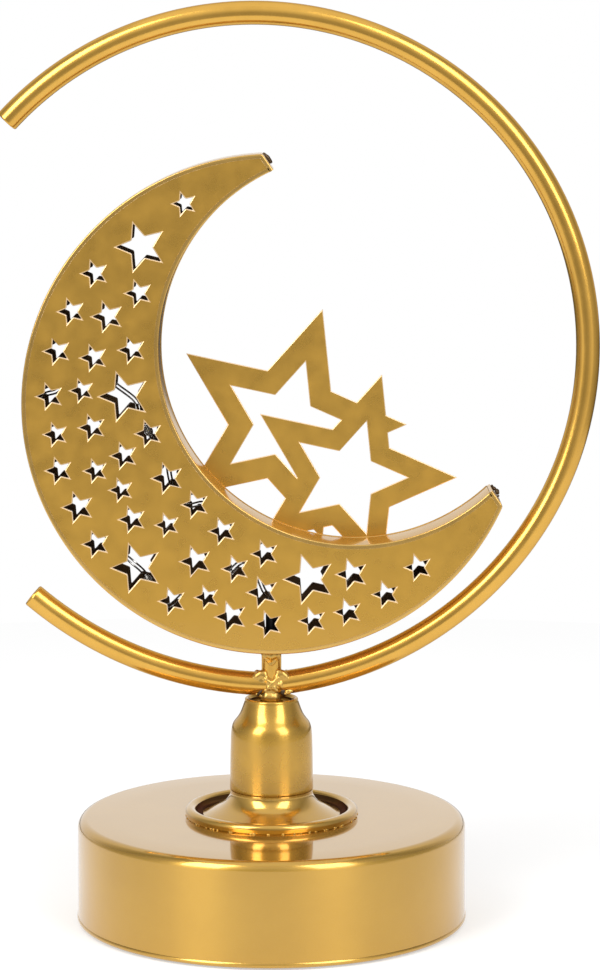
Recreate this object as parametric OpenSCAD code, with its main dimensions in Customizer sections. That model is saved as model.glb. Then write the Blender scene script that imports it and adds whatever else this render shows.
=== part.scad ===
// Crescent moon table ornament in gold-finished sheet metal, lit by a string of wire lights on two cells.
// A pressed base can holds the cells and a slide switch behind a moulded cover. A spun foot and a spun
// bell stand on it, clamped by one hollow stud. A welded strut carries the open ring and the hollow
// crescent, and a cut sheet of two stars stands behind the crescent's bay.
// The origin lies on the table, midway between the ring's left and right side. +Z is up and the front
// faces -Y. The sizes below are laid out round the strut, and the whole ornament then moves left.

/* [Base can] */
// Outer diameter of the can
base_d = 102; // [97:0.5:112]
// Height of the can's top above the table
base_top = 27.4; // [25.6:0.2:34]
// Sheet thickness of the can
can_wall = 0.8; // [0.6:0.05:1]
// Outer radius of the rounded top edge
can_round = 2.5; // [1.5:0.1:4]
// Height of the can's lower edge above the table
can_lift = 0.5; // [0.3:0.1:1]
// Diameter of the rolled hem at the lower edge
hem_d = 1.6; // [1.2:0.1:2]
// How far the hem stands out from the side
hem_proud = 0.25; // [0.1:0.05:0.4]

/* [Bottom cover] */
// Thickness of the moulded cover
cover_t = 2.2; // [2.1:0.1:2.6]
// Height of the cover's underside above the table
cover_rise = 1.5; // [1.3:0.1:1.8]
// Radial clearance between the cover and the hem
cover_gap = 0.4; // [0.2:0.05:0.8]
// Diameter of a rubber foot
foot_d = 6.5; // [5:0.5:7]
// From the cover's edge to a foot's centre
foot_inset = 5.2; // [4.5:0.1:5.6]
// Depth of the foot's seat in the cover
foot_seat = 0.5; // [0.3:0.1:1]
// Number of rubber feet
foot_count = 4; // [4:2:6]
// Width of the sheet bracket that takes a cover screw
bracket_w = 9; // [7:0.5:11]
// Sheet thickness of the bracket
bracket_t = 1; // [0.8:0.1:1.2]
// Length of the bracket's foot, inward from the can's side
bracket_l = 9; // [8:0.5:10]
// Height of the bracket
bracket_h = 8; // [5:0.5:12]
// Diameter of a cover screw
screw_d = 3; // [2.5:0.1:3.2]
// Diameter of the screw's head
screw_head_d = 5.4; // [4.8:0.1:5.8]
// Height of the screw's head
screw_head_h = 1.2; // [1:0.1:1.4]
// Length of the screw under its head
screw_l = 5; // [3.5:0.5:8]
// Depth of the head's recess in the cover
screw_sink = 0.9; // [0.6:0.1:1]

/* [Cells] */
// Diameter of a cell
cell_d = 14.2; // [13.8:0.1:14.4]
// Length of a cell's body
cell_l = 49; // [47:0.5:50]
// Diameter of a cell's nub
nub_d = 5.5; // [4.5:0.1:6]
// Length of a cell's nub
nub_l = 1.2; // [1:0.1:1.6]
// Gap between the two cells
cell_gap = 0.6; // [0.4:0.1:1]
// Clearance round the cells in their pocket
cell_float = 0.3; // [0.2:0.05:0.4]
// Wall thickness of the pocket
pocket_wall = 1.2; // [1:0.1:1.6]
// From the base's axis to the pocket's middle
pocket_y = 18; // [17.5:0.25:18.5]
// Sheet thickness of the contacts
contact_t = 0.4; // [0.3:0.05:0.5]
// Width of a single contact
contact_w = 10; // [8:0.5:12]
// Height of a contact
contact_h = 9; // [7:0.5:10]
// Width of the contact's solder tag
tag_w = 2.4; // [1.6:0.1:3]
// How far the solder tag stands above the pocket
tag_proud = 1.4; // [1:0.1:1.8]
// Free length of a contact spring in its place
spring_l = 5; // [4:0.25:6]
// Outer diameter of a contact spring
spring_d = 6.6; // [5.5:0.1:8]
// Wire diameter of a contact spring
spring_wire = 0.6; // [0.5:0.05:0.8]
// Turns in a contact spring
spring_turns = 4; // [3:1:6]

/* [Cell door] */
// Thickness of the door
door_t = 1.2; // [1:0.05:1.25]
// Running clearance of the door
door_gap = 0.15; // [0.1:0.05:0.2]
// How far the door slides before it comes off
door_travel = 4; // [3.5:0.25:4.25]
// Overlap of the door on the cover, all round
door_margin = 1.8; // [1.4:0.1:1.9]
// Width of the ledge that the door's hooks hold
ledge_w = 1.4; // [1.2:0.1:1.6]
// Width of a hook along the door
hook_w = 3; // [2.5:0.1:3.2]
// Thickness of a hook's stem
hook_t = 1.2; // [1:0.1:1.4]
// Thickness of a hook's lip
hook_lip = 0.8; // [0.6:0.05:0.9]
// How far a hook's lip reaches over the ledge
hook_reach = 0.9; // [0.7:0.05:1]
// Width of a grip groove in the door
grip_w = 1.2; // [0.8:0.1:1.6]
// Depth of a grip groove
grip_depth = 0.4; // [0.2:0.05:0.5]
// Number of grip grooves
grip_count = 5; // [3:1:7]

/* [Switch] */
// Length of the switch housing
switch_l = 13; // [12.5:0.5:15]
// Width of the switch housing
switch_w = 6.5; // [6:0.25:8]
// Height of the switch housing
switch_h = 5.5; // [5:0.25:7]
// Wall of the switch housing
switch_wall = 0.8; // [0.6:0.05:0.9]
// From the base's axis to the switch, towards the front
switch_y = 24; // [20:0.5:28]
// Travel of the slider
switch_travel = 2.5; // [2:0.1:2.8]
// Length of the slider's knob
knob_l = 4; // [3.5:0.1:4.5]
// Width of the slider's knob
knob_w = 2.6; // [2:0.1:3]
// How far the knob stands out of the cover
knob_proud = 0.6; // [0.3:0.05:0.9]
// Diameter of the posts that hold the housing's ears
post_d = 1.5; // [1.2:0.1:1.8]
// Length of an ear
ear_l = 3.2; // [2.8:0.1:4]
// Running clearance of the slider
switch_gap = 0.15; // [0.1:0.05:0.2]
// Width of a switch pin
pin_w = 1.6; // [1.2:0.1:2]
// Height of a switch pin
pin_h = 2.5; // [2:0.25:4]
// Thickness of a switch pin
pin_t = 0.5; // [0.4:0.05:0.8]

/* [Foot flange] */
// Outer diameter of the foot flange
flange_d = 45.8; // [40:0.1:52]
// Height of the flange from the can to the bell
flange_h = 6.9; // [6.2:0.1:9]
// Sheet thickness of the flange and of the bell
spun_t = 0.8; // [0.6:0.05:1]
// Outer diameter of the flange's neck and of the bell's foot
neck_d = 22.2; // [20:0.1:24]
// Outer radius of the flare between the neck and the dish
flare_r = 3.4; // [2.5:0.1:4]
// Diameter of the rolled rim
rim_roll_d = 2.3; // [2:0.1:2.6]

/* [Stem] */
// Height of the bell
bell_h = 24.1; // [22:0.1:28]
// Outer diameter of the bell under its shoulder
bell_top_d = 21.6; // [19:0.1:22]
// Outer diameter of the bell's lip
lip_d = 14; // [12:0.1:15]
// Height of the bell's cone above its shoulder
cone_h = 7.6; // [6:0.1:9]
// Diameter of the rolled lip
lip_roll_d = 1; // [0.9:0.05:1.2]
// Diameter of the hollow stud
stud_d = 8; // [7.5:0.1:9]
// Bore of the hollow stud
stud_bore = 4.4; // [4:0.1:5]
// How far the stud stands out under its nut
stud_proud = 0.4; // [0.2:0.1:0.6]
// Thickness of the stud's nut
nut_t = 2.6; // [2.2:0.1:2.8]
// Width of the nut across its flats
nut_af = 12; // [11:0.5:14]
// Thickness of the washer over the nut
washer_t = 0.8; // [0.6:0.1:1]
// Outer diameter of the washer
washer_d = 16; // [14:0.5:20]
// Thickness of the threaded plate in the bell's foot
plate_t = 3; // [2:0.1:5]

/* [Strut and ring] */
// Outer diameter of the strut
strut_d = 5.2; // [4.8:0.1:5.4]
// Bore of the strut
strut_bore = 3.6; // [3.2:0.1:4]
// Outer diameter of the ring's tube
tube_d = 6.2; // [5.6:0.1:6.4]
// Wall of the ring's tube
tube_wall = 0.8; // [0.6:0.05:1]
// From the bell's lip to the underside of the ring
ring_lift = 0.8; // [0.6:0.1:4]
// Radius of the ring's tube axis
ring_r = 87; // [84:0.25:95]
// How far the ring's centre lies left of the strut
ring_left = 4.5; // [3:0.25:6]
// Radius of the long arc's easier bend beside the strut
ring_ease_r = 92; // [91:0.25:96]
// Radius of the short arc
ring_short_r = 97.3; // [92:0.1:105]
// Diameter of a weld lump
weld_d = 1.8; // [1.4:0.1:2.2]

/* [Crescent] */
// Outer radius of the crescent
crescent_r = 65.2; // [62:0.2:68]
// Radius of the crescent's bay
bay_r = 51; // [48:0.25:53]
// From the crescent's centre to the bay's centre
bay_offset = 25.9; // [24:0.1:28]
// From the crescent's centre to the blunt tips, along its axis
tip_cut = 34.5; // [30:0.25:36]
// From the ring's tube to the underside of the crescent
crescent_lift = 5.9; // [4:0.1:8]
// How far the crescent's centre lies right of the strut
crescent_right = 0.5; // [0:0.1:1]
// Depth of the crescent box, front to back
box_depth = 13; // [12:0.25:16]
// Sheet thickness of the crescent and of the stars
sheet = 0.8; // [0.6:0.05:1]
// Tip radius of the big star holes, as a share of the crescent's greatest width
star_big_share = 0.16; // [0.13:0.005:0.17]
// Tip radius of the middle star holes, as a share of that width
star_mid_share = 0.097; // [0.09:0.001:0.11]
// Tip radius of the small star holes, as a share of that width
star_small_share = 0.082; // [0.07:0.001:0.087]
// Tip radius of the tiny star holes, as a share of that width
star_tiny_share = 0.072; // [0.06:0.001:0.08]
// Least web between a star hole and the plate's edge
star_web = 0.6; // [0.4:0.1:1]

/* [Star sheet] */
// Tip radius of the left star, as a share of the bay's radius
left_star_share = 0.629; // [0.55:0.001:0.65]
// Tip radius of the right star, as a share of the bay's radius
right_star_share = 0.563; // [0.51:0.001:0.59]
// From the bay's centre to the left star's centre, leftwards, as a share of the bay's radius
left_star_x_share = 0.36; // [0.33:0.001:0.39]
// From the bay's centre to the left star's centre, downwards, as a share of the bay's radius
left_star_drop_share = 0.413; // [0.39:0.001:0.47]
// From the bay's centre to the right star's centre, leftwards, as a share of the bay's radius
right_star_x_share = 0.034; // [0:0.001:0.08]
// From the bay's centre to the right star's centre, downwards, as a share of the bay's radius
right_star_drop_share = 0.688; // [0.67:0.001:0.75]
// How far the lower star tips lap behind the back plate
star_lap = 5; // [3:0.25:6]

/* [Wires] */
// Diameter of the twin lead in the stem
lead_d = 1.8; // [1.4:0.1:2]
// Diameter of a single wire in the base
wire_d = 1; // [0.8:0.1:1.2]
// Diameter of a strand of the light string
strand_d = 0.5; // [0.3:0.05:0.6]
// Distance between the string's two strands
strand_pitch = 0.9; // [0.8:0.05:1]
// Diameter of a light drop
drop_d = 2.6; // [2.4:0.1:3]
// Length of a light drop
drop_l = 3.8; // [3.2:0.1:4.4]
// Outer diameter of the sleeve over the string's joint
sleeve_d = 3; // [2.8:0.1:3.4]
// Length of the sleeve
sleeve_l = 8; // [6:0.5:10]

/* [Hidden] */
$fn = 96;

// Overrun of every cut
cut = 1;
// Clearance between pieces that are seated or welded together
seat = 0.05;

// Places in the base, worked out from the sizes above
base_r = base_d / 2;
can_inner_r = base_r - can_wall;
can_inner_top = base_top - can_wall;
cover_r = base_r + hem_proud - hem_d - cover_gap;
cover_top = cover_rise + cover_t;
foot_place_r = cover_r - foot_inset;
foot_first = 60;
bracket_angles = [20, 160, 270];
screw_place_r = can_inner_r - bracket_l / 2;
head_top = cover_rise + screw_sink;

// The cells' pocket and its contacts
pocket_l = cell_l + nub_l + spring_l + 2 * contact_t + cell_float;
pocket_w = 2 * cell_d + cell_gap + 2 * cell_float;
cell_axis_z = cover_top + cell_float + cell_d / 2;
cell_pitch = cell_d + cell_gap;
pocket_roof = cell_axis_z + cell_d / 2 + cell_float;
pocket_top = pocket_roof + pocket_wall;

// The door and the opening that it closes
open_l = pocket_l - 2 * ledge_w;
open_w = pocket_w - 2 * ledge_w;
door_l = open_l + 2 * door_margin;
door_w = open_w + 2 * door_margin;
door_top = cover_rise + door_t;
recess_top = door_top + door_gap;
hook_x = open_l * 0.3;
lip_z = cover_top + door_gap;

// The stem, from the can up to the crescent
seam_z = base_top + flange_h;
neck_r = neck_d / 2;
lip_z_top = seam_z + bell_h;
shoulder_z = lip_z_top - cone_h;
stud_bottom = can_inner_top - washer_t - nut_t - stud_proud;
stud_top = seam_z + plate_t;
tube_r = tube_d / 2;
strut_r = strut_d / 2;
ring_axis_z = lip_z_top + ring_lift + tube_r;
crescent_foot = ring_axis_z + tube_r + crescent_lift;

// The ring: angles are measured from +X round the ring's centre. The easier bend takes over where the
// ring's radius runs by these shares rightwards and downwards, and the heights are rounded to a
// hundredth, so that the two bends meet face to face
ease_right_share = 0.8;
ease_down_share = 0.6;
ease_angle = -atan2(ease_down_share, ease_right_share);
ring_end_angle = 137.4;
short_end_angle = -130.8;
ring_x = -ring_left;
ease_x = ring_x - (ring_ease_r - ring_r) * ease_right_share;
ease_z = round(100 * (ring_axis_z + sqrt(pow(ring_ease_r, 2) - pow(ease_x, 2)))) / 100;
ring_z = ease_z - (ring_ease_r - ring_r) * ease_down_share;
short_x = strut_r * 0.4;
short_z = ring_axis_z + sqrt(pow(ring_short_r, 2) - pow(short_x, 2));
cope_x = strut_r / 2;

// The crescent: its axis points from its own centre to the bay's centre
crescent_tilt = 34.3;
crescent_z = crescent_foot + sqrt(pow(crescent_r, 2) - pow(crescent_right, 2));
bay_x = crescent_right + bay_offset * cos(crescent_tilt);
bay_z = crescent_z + bay_offset * sin(crescent_tilt);
plate_inset = sheet + seat;

// The middle between the ring's open end at the left and its right side, where the origin goes
middle_x = round(50 * (2 * ring_x + (ring_r + tube_r) * (1 + cos(ring_end_angle)))) / 100;

// The two stars of the sheet, from the bay's centre, and the arc that trims their lower tips
left_star_r = left_star_share * bay_r;
right_star_r = right_star_share * bay_r;
left_star = -bay_r * [left_star_x_share, left_star_drop_share];
right_star = -bay_r * [right_star_x_share, right_star_drop_share];
lap_r = bay_r + sheet + star_lap;

// A star's notch radius as a share of its tip radius, for the holes and for the star sheet
hole_notch_share = 0.45;
sheet_notch_share = 0.468;
// The star sheet's opening as a share of the star
star_open_share = 0.545;
// Star holes: angle round the crescent's centre, share of the way from the bay to the outer edge,
// and size (0 big, 1 middle, 2 small, 3 tiny)
star_hole_shares = [
    [113.6, 0.50, 3], [129.6, 0.50, 0], [143.3, 0.73, 2], [140.0, 0.285, 2], [154.9, 0.765, 2],
    [151.6, 0.475, 1], [165.8, 0.785, 2], [165.0, 0.51, 2], [158.4, 0.225, 2], [177.6, 0.805, 2],
    [175.5, 0.58, 3], [176.5, 0.285, 0], [187.0, 0.535, 2], [187.6, 0.785, 3], [192.8, 0.18, 2],
    [198.7, 0.385, 2], [197.0, 0.82, 2], [200.3, 0.595, 3], [214.7, 0.205, 1], [209.2, 0.50, 3],
    [207.7, 0.80, 1], [232.0, 0.18, 2], [219.1, 0.55, 2], [228.6, 0.405, 3], [248.1, 0.21, 2],
    [218.2, 0.835, 2], [230.1, 0.75, 0], [243.7, 0.485, 1], [266.8, 0.23, 2], [257.1, 0.41, 2],
    [242.8, 0.80, 2], [251.0, 0.675, 3], [266.8, 0.525, 1], [258.8, 0.755, 1], [268.8, 0.765, 2],
    [281.7, 0.375, 0], [294.9, 0.345, 1], [280.3, 0.74, 2], [289.8, 0.715, 2], [300.7, 0.66, 2],
    [311.7, 0.52, 2]
];
crescent_width = crescent_r + bay_offset - bay_r;
star_sizes = crescent_width * [star_big_share, star_mid_share, star_small_share, star_tiny_share];

// Route of the light string through the crescent, as it lies: angle round the crescent's centre, share
// of the way from the bay to the outer edge, and share of the box's depth behind its middle
string_shares = [
    [267, 0.53, -0.08], [264, 0.40, -0.08], [260.5, 0.36, 0], [257.5, 0.41, 0.08], [253, 0.59, 0.08],
    [248.5, 0.62, 0.15], [245.5, 0.70, 0.08], [244.5, 0.78, 0], [243, 0.86, -0.08], [240.5, 0.89, 0],
    [237, 0.83, 0.08], [233, 0.77, 0], [228, 0.76, -0.08], [222.5, 0.77, 0], [217, 0.69, 0.08],
    [211.5, 0.64, 0.15], [205, 0.57, 0.08], [196.5, 0.49, 0], [188.5, 0.45, -0.08],
    [182.5, 0.51, -0.08], [182, 0.69, 0], [183, 0.84, 0.08], [181, 0.89, 0.08], [178, 0.85, 0],
    [176.5, 0.76, -0.08], [172.5, 0.68, 0], [163, 0.69, 0.08], [157.5, 0.65, 0.15],
    [152, 0.69, 0.08], [148.5, 0.65, 0], [144.5, 0.54, 0], [138, 0.62, -0.08], [134, 0.75, -0.08],
    [126.5, 0.79, 0], [119, 0.70, 0.08], [112.5, 0.71, 0.08], [105.5, 0.68, 0], [102.5, 0.60, -0.08],
    [101, 0.40, -0.08], [102.5, 0.27, -0.08], [109, 0.25, 0], [119, 0.31, 0.08], [125, 0.20, 0.08],
    [135, 0.15, 0], [146, 0.11, -0.08], [158.5, 0.11, -0.08], [165.5, 0.19, 0], [169, 0.35, 0.08],
    [171, 0.39, 0.08], [173.5, 0.35, 0.08], [179, 0.22, 0], [185.5, 0.21, -0.08],
    [199.5, 0.17, -0.08], [208, 0.16, 0], [216.5, 0.21, 0.08], [224.5, 0.26, 0], [230.5, 0.23, -0.08],
    [235.5, 0.15, -0.08], [243.5, 0.14, 0], [256.5, 0.14, 0.08], [265, 0.16, 0.08], [275, 0.20, 0],
    [281, 0.17, -0.08], [289.5, 0.17, -0.08], [291, 0.24, -0.08], [289.5, 0.44, 0],
    [286, 0.64, 0.08], [285.5, 0.77, 0.08], [287.5, 0.84, 0], [291.5, 0.85, -0.08],
    [296.5, 0.64, -0.08], [302, 0.40, 0], [309, 0.31, 0.08], [318, 0.48, 0.08], [325, 0.46, 0],
    [331, 0.52, -0.08]
];
// The string starts in the sleeve over its joint with the lead, at these shares of the sleeve's length
sleeve_shares = [0.625, 1.375];
joint_z = crescent_foot + 2 * sheet + 4 * seat + sleeve_l / 2;
string_route = concat(
    [for (s = sleeve_shares) [0, 0, joint_z + (s - 0.5) * sleeve_l]],
    [for (s = string_shares) let (near = bay_edge(s[0]), far = near + s[1] * (crescent_r - near))
        [crescent_right + far * cos(s[0]), s[2] * box_depth, crescent_z + far * sin(s[0])]]
);
// Stretches of the string that carry a light drop, counted from its start
drop_stretches = [
    5, 12, 15, 18, 20, 22, 28, 32, 34, 36, 42, 44, 46, 53, 60, 64, 67, 71, 73, 75
];
// Route of the twin lead, up from the switch's pin and then along the stem to the string's joint:
// shares of the way back to the stem and of the way up to the nut
pin_top = cover_top + switch_h + pin_h + lead_d / 2 + 2 * seat;
pin_x = [for (s = [-1, 1]) switch_travel / 2 + s * switch_l / 4];
lead_shares = [[0.02, 0, 0], [0.21, 0.5, 0.15], [0.5, -0.25, 0.35], [0.79, -0.75, 0.5], [0.94, -1, 0.7]];
lead_route = concat(
    [for (s = lead_shares)
        [pin_x[0] * (1 + s[1]), -switch_y * (1 - s[0]), pin_top + s[2] * (stud_bottom - pin_top)]],
    [for (z = [stud_bottom - stud_bore / 4, stud_top, (stud_top + joint_z) / 2, joint_z]) [0, 0, z]]
);
// Routes of the two wires in the base, as shares of the way from the switch to the contacts' tags
tag_top = pocket_top + tag_proud + wire_d / 2 + seat;
tag_x = pocket_l / 2 - contact_t / 2;
switch_wire_shares = [
    [1, 1, 1], [1.13, 0.92, 1], [1.21, 0.75, 0.6], [1.09, 0.4, 0.08], [0.49, 0.12, 0.03],
    [0.06, 0.01, 0.08], [0, 0, 0]
];
return_wire_shares = [
    [1, 1, 1], [1.18, 0.97, 0.95], [1.28, 0.77, 0.42], [1.22, 0.53, 0.2], [0.81, 0.24, 0.24],
    [0.35, 0.12, 0.29], [0.04, 0.115, 0.3]
];
function way(from, to, shares) = [for (s = shares) [for (k = [0:2]) from[k] + s[k] * (to[k] - from[k])]];
switch_wire_route = way([pin_x[1], -switch_y, pin_top - (lead_d - wire_d) / 2],
    [tag_x, pocket_y - cell_pitch / 2, tag_top], switch_wire_shares);
return_wire_route = way([pin_x[0], -switch_y, pin_top - (lead_d - wire_d) / 2],
    [tag_x, pocket_y + cell_pitch / 2, tag_top], return_wire_shares);

// Points of a polyline moved sideways, where up is a direction that the line never takes
function unit(v) = v / norm(v);
function way_in(p, i) = unit(p[max(i, 1)] - p[max(i, 1) - 1]);
function way_out(p, i) = unit(p[min(i + 1, len(p) - 1)] - p[min(i, len(p) - 2)]);
function heading(p, i) = unit(way_in(p, i) + way_out(p, i));
function side(p, i, up) = unit(cross(heading(p, i), up));
function mitre(p, i) = 1 / (way_in(p, i) * heading(p, i));
function moved(p, up, by) = [for (i = [0:len(p) - 1]) p[i] + by * mitre(p, i) * side(p, i, up)];

// Circle of points round one place on a route
function hoop(p, i, r, n, up) = let (s = side(p, i, up), t = cross(s, heading(p, i)))
    [for (k = [0:n - 1]) p[i] + r * (cos(360 * k / n) * s + sin(360 * k / n) * t)];

// Star outline with one tip at the angle first
function star(r, notch_share, first) =
    [for (k = [0:9]) let (q = k % 2 == 0 ? r : r * notch_share, a = first + 36 * k) q * [cos(a), sin(a)]];

// Distance from the crescent's centre to the bay's edge at angle a
function bay_edge(a) = let (b = a - crescent_tilt)
    bay_offset * cos(b) + sqrt(pow(bay_r, 2) - pow(bay_offset * sin(b), 2));

// Distance from a star's centre c, at angle a, to a circle of radius r round the bay's centre
function reach(c, a, r) = let (b = c * [cos(a), sin(a)]) sqrt(b * b - c * c + r * r) - b;

// Outer radius of the bell at a height above its foot
function bell_r_at(h) = neck_r - (neck_d - bell_top_d) / 2 * h / (bell_h - cone_h);

// Arc of points for a lathe outline
function arc(c, r, a, b, n) = [for (k = [0:n]) c + r * [cos(a + (b - a) * k / n), sin(a + (b - a) * k / n)]];

// Round bar swept along a route of straight stretches
module swept(route, d, n, up) {
    count = len(route);
    points = [for (i = [0:count - 1]) each hoop(route, i, d / 2, n, up)];
    walls = [for (i = [0:count - 2], k = [0:n - 1]) let (a = i * n + k, b = i * n + (k + 1) % n)
        each [[a, a + n, b + n], [a, b + n, b]]];
    first_cap = [for (k = [1:n - 2]) [0, k, k + 1]];
    last_cap = [for (k = [1:n - 2]) [(count - 1) * n, (count - 1) * n + k + 1, (count - 1) * n + k]];
    polyhedron(points, concat(walls, first_cap, last_cap));
}

// Upright sheet: a flat outline drawn in X and Z, from y to y + depth
module upright(y, depth) {
    translate([0, y + depth, 0]) rotate([90, 0, 0]) linear_extrude(depth) children();
}

// Moves a piece from its place round the strut to its place round the origin
module placed() {
    translate([-middle_x, 0, 0]) children();
}

// Block centred in X and Y, standing on z
module block(x, y, z, size) {
    translate([x - size[0] / 2, y - size[1] / 2, z]) cube(size);
}

// Solid of revolution of a can with a rounded top edge
module can_solid(r, bottom, top, corner) {
    rotate_extrude() {
        translate([0, bottom]) square([r, top - corner - bottom]);
        translate([0, bottom]) square([r - corner, top - bottom]);
        intersection() {
            translate([r - corner, top - corner]) circle(corner);
            translate([0, bottom]) square([r, top - bottom]);
        }
    }
}

module base_can() {
    color([0.80, 0.60, 0.25]) difference() {
        union() {
            can_solid(base_r, can_lift + hem_d / 2, base_top, can_round);
            rotate_extrude() translate([base_r + hem_proud - hem_d / 2, can_lift + hem_d / 2])
                circle(hem_d / 2);
        }
        can_solid(can_inner_r, can_lift, can_inner_top, can_round - can_wall);
        translate([0, 0, can_inner_top - cut]) cylinder(h = can_wall + 2 * cut, d = stud_d + 2 * cover_gap);
    }
}

// Places of the three cover screws
module at_screws() {
    for (a = bracket_angles) rotate(a) translate([screw_place_r, 0, 0]) children();
}

// Places of the rubber feet, kept clear of the cell door
module at_feet() {
    for (k = [0:foot_count - 1])
        rotate(k < foot_count / 2 ? foot_first + k * (180 - 2 * foot_first) / (foot_count / 2 - 1)
            : -foot_first - (k - foot_count / 2) * (180 - 2 * foot_first) / (foot_count / 2 - 1))
            translate([foot_place_r, 0, 0]) children();
}

// Notches that let the door's hooks out once it has slid
module at_hooks(shift) {
    for (x = [-hook_x, hook_x], s = [0, 1]) translate([x + shift, pocket_y, 0]) mirror([0, s, 0]) children();
}

// Places of the posts that hold the switch
module at_posts() {
    for (s = [-1, 1]) translate([switch_travel / 2 + s * (switch_l + ear_l) / 2, -switch_y, 0]) children();
}

module base_cover() {
    color([0.93, 0.91, 0.86]) difference() {
        union() {
            translate([0, 0, cover_rise]) cylinder(h = cover_t, r = cover_r);
            at_posts() {
                translate([0, 0, cover_top - seat]) cylinder(h = 2 * switch_wall + seat, d = post_d);
                translate([0, 0, cover_top + switch_wall]) cylinder(h = switch_wall, d = post_d * 1.5);
            }
            block(0, pocket_y, cover_top - seat,
                [pocket_l + 2 * pocket_wall, pocket_w + 2 * pocket_wall, pocket_top - cover_top + seat]);
        }
        // Inside of the pocket, its mouth and the door's recess
        block(0, pocket_y, cover_top, [pocket_l, pocket_w, pocket_roof - cover_top]);
        block(0, pocket_y, cover_rise - cut, [open_l, open_w, cover_t + 2 * cut]);
        translate([-door_l / 2 - 2 * door_gap, pocket_y - door_w / 2 - door_gap, cover_rise - cut])
            cube([door_l + door_travel + 4 * door_gap, door_w + 2 * door_gap, recess_top - cover_rise + cut]);
        at_hooks(door_travel) translate([-hook_w / 2 - door_gap, 0, cover_rise])
            cube([hook_w + 2 * door_gap, pocket_w / 2, cover_t + cut]);
        // Slots for the contacts' solder tags
        for (s = [-1, 1])
            block(pocket_l / 2 - contact_t / 2, pocket_y + s * cell_pitch / 2, pocket_roof - cut,
                [contact_t + 4 * seat, tag_w + 4 * seat, pocket_wall + 2 * cut]);
        // Slot for the switch knob
        block(switch_travel / 2, -switch_y, cover_rise - cut,
            [knob_l + switch_travel + 4 * switch_gap, knob_w + 2 * switch_gap, cover_t + 2 * cut]);
        // Screw holes with their head recesses, and the seats of the feet
        at_screws() {
            translate([0, 0, cover_rise - cut]) cylinder(h = cover_t + 2 * cut, d = screw_d + 2 * cover_gap);
            translate([0, 0, cover_rise - cut])
                cylinder(h = screw_sink + cut, d = screw_head_d + 2 * cover_gap);
        }
        at_feet() translate([0, 0, cover_rise - cut]) cylinder(h = foot_seat + cut, d = foot_d + 2 * seat);
    }
}

module rubber_feet() {
    color([0.12, 0.12, 0.12]) at_feet() cylinder(h = cover_rise + foot_seat, d = foot_d);
}

module cover_brackets() {
    color([0.72, 0.72, 0.70]) for (a = bracket_angles) rotate(a) difference() {
        intersection() {
            union() {
                translate([can_inner_r - bracket_l, -bracket_w / 2, cover_top])
                    cube([bracket_l, bracket_w, bracket_t]);
                translate([can_inner_r - 2 * bracket_t, -bracket_w / 2, cover_top])
                    cube([2 * bracket_t, bracket_w, bracket_h]);
            }
            translate([0, 0, cover_top - cut]) cylinder(h = bracket_h + 2 * cut, r = can_inner_r - seat);
        }
        translate([screw_place_r, 0, cover_top - cut])
            cylinder(h = bracket_t + 2 * cut, d = screw_d + 2 * seat);
    }
}

module cover_screws() {
    color([0.75, 0.75, 0.74]) at_screws() difference() {
        union() {
            translate([0, 0, head_top - screw_head_h]) cylinder(h = screw_head_h, d = screw_head_d);
            translate([0, 0, head_top - seat]) cylinder(h = screw_l + seat, d = screw_d);
        }
        // Cross recess
        for (a = [0, 90]) rotate(a) block(0, 0, head_top - screw_head_h - cut,
            [screw_head_d * 0.55, screw_head_d * 0.14, screw_head_h / 2 + cut]);
    }
}

// A cell with its nub towards +X or, flipped, towards -X
module cell(s) {
    color([0.25, 0.45, 0.30])
        translate([0, pocket_y + s * cell_pitch / 2, cell_axis_z]) rotate([0, s * 90, 0]) {
            translate([0, 0, spring_l + contact_t - pocket_l / 2]) cylinder(h = cell_l, d = cell_d);
            translate([0, 0, spring_l + contact_t + cell_l - pocket_l / 2 - seat])
                cylinder(h = nub_l + seat, d = nub_d);
        }
}

module cell_near() cell(-1);

module cell_far() cell(1);

module contact_plates() {
    color([0.80, 0.80, 0.78]) {
        // One plate joins the two cells at the left, and each has its own at the right
        block(-pocket_l / 2 + contact_t / 2 + seat, pocket_y, cell_axis_z - contact_h / 2,
            [contact_t - seat, cell_pitch + contact_w, contact_h]);
        for (s = [-1, 1]) translate([0, pocket_y + s * cell_pitch / 2, 0]) {
            block(pocket_l / 2 - contact_t / 2 - seat, 0, cell_axis_z - contact_h / 2,
                [contact_t - seat, contact_w, contact_h]);
            block(pocket_l / 2 - contact_t / 2 - seat, 0, cell_axis_z,
                [contact_t - seat, tag_w, pocket_top + tag_proud - cell_axis_z]);
        }
    }
}

// One contact spring, coiled along +Z from zero to its length
module spring() {
    turn_steps = 8;
    coil_r = (spring_d - spring_wire) / 2;
    rise = spring_l - spring_wire - 4 * seat;
    steps = spring_turns * turn_steps;
    swept([for (i = [0:steps])
        [coil_r * cos(360 * i / turn_steps), coil_r * sin(360 * i / turn_steps),
            spring_wire / 2 + 2 * seat + rise * i / steps]], spring_wire, 6, [0, 0, 1]);
}

module contact_springs() {
    color([0.78, 0.78, 0.76]) for (s = [-1, 1])
        translate([s * (contact_t - pocket_l / 2), pocket_y + s * cell_pitch / 2, cell_axis_z])
            rotate([0, s * 90, 0]) spring();
}

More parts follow.
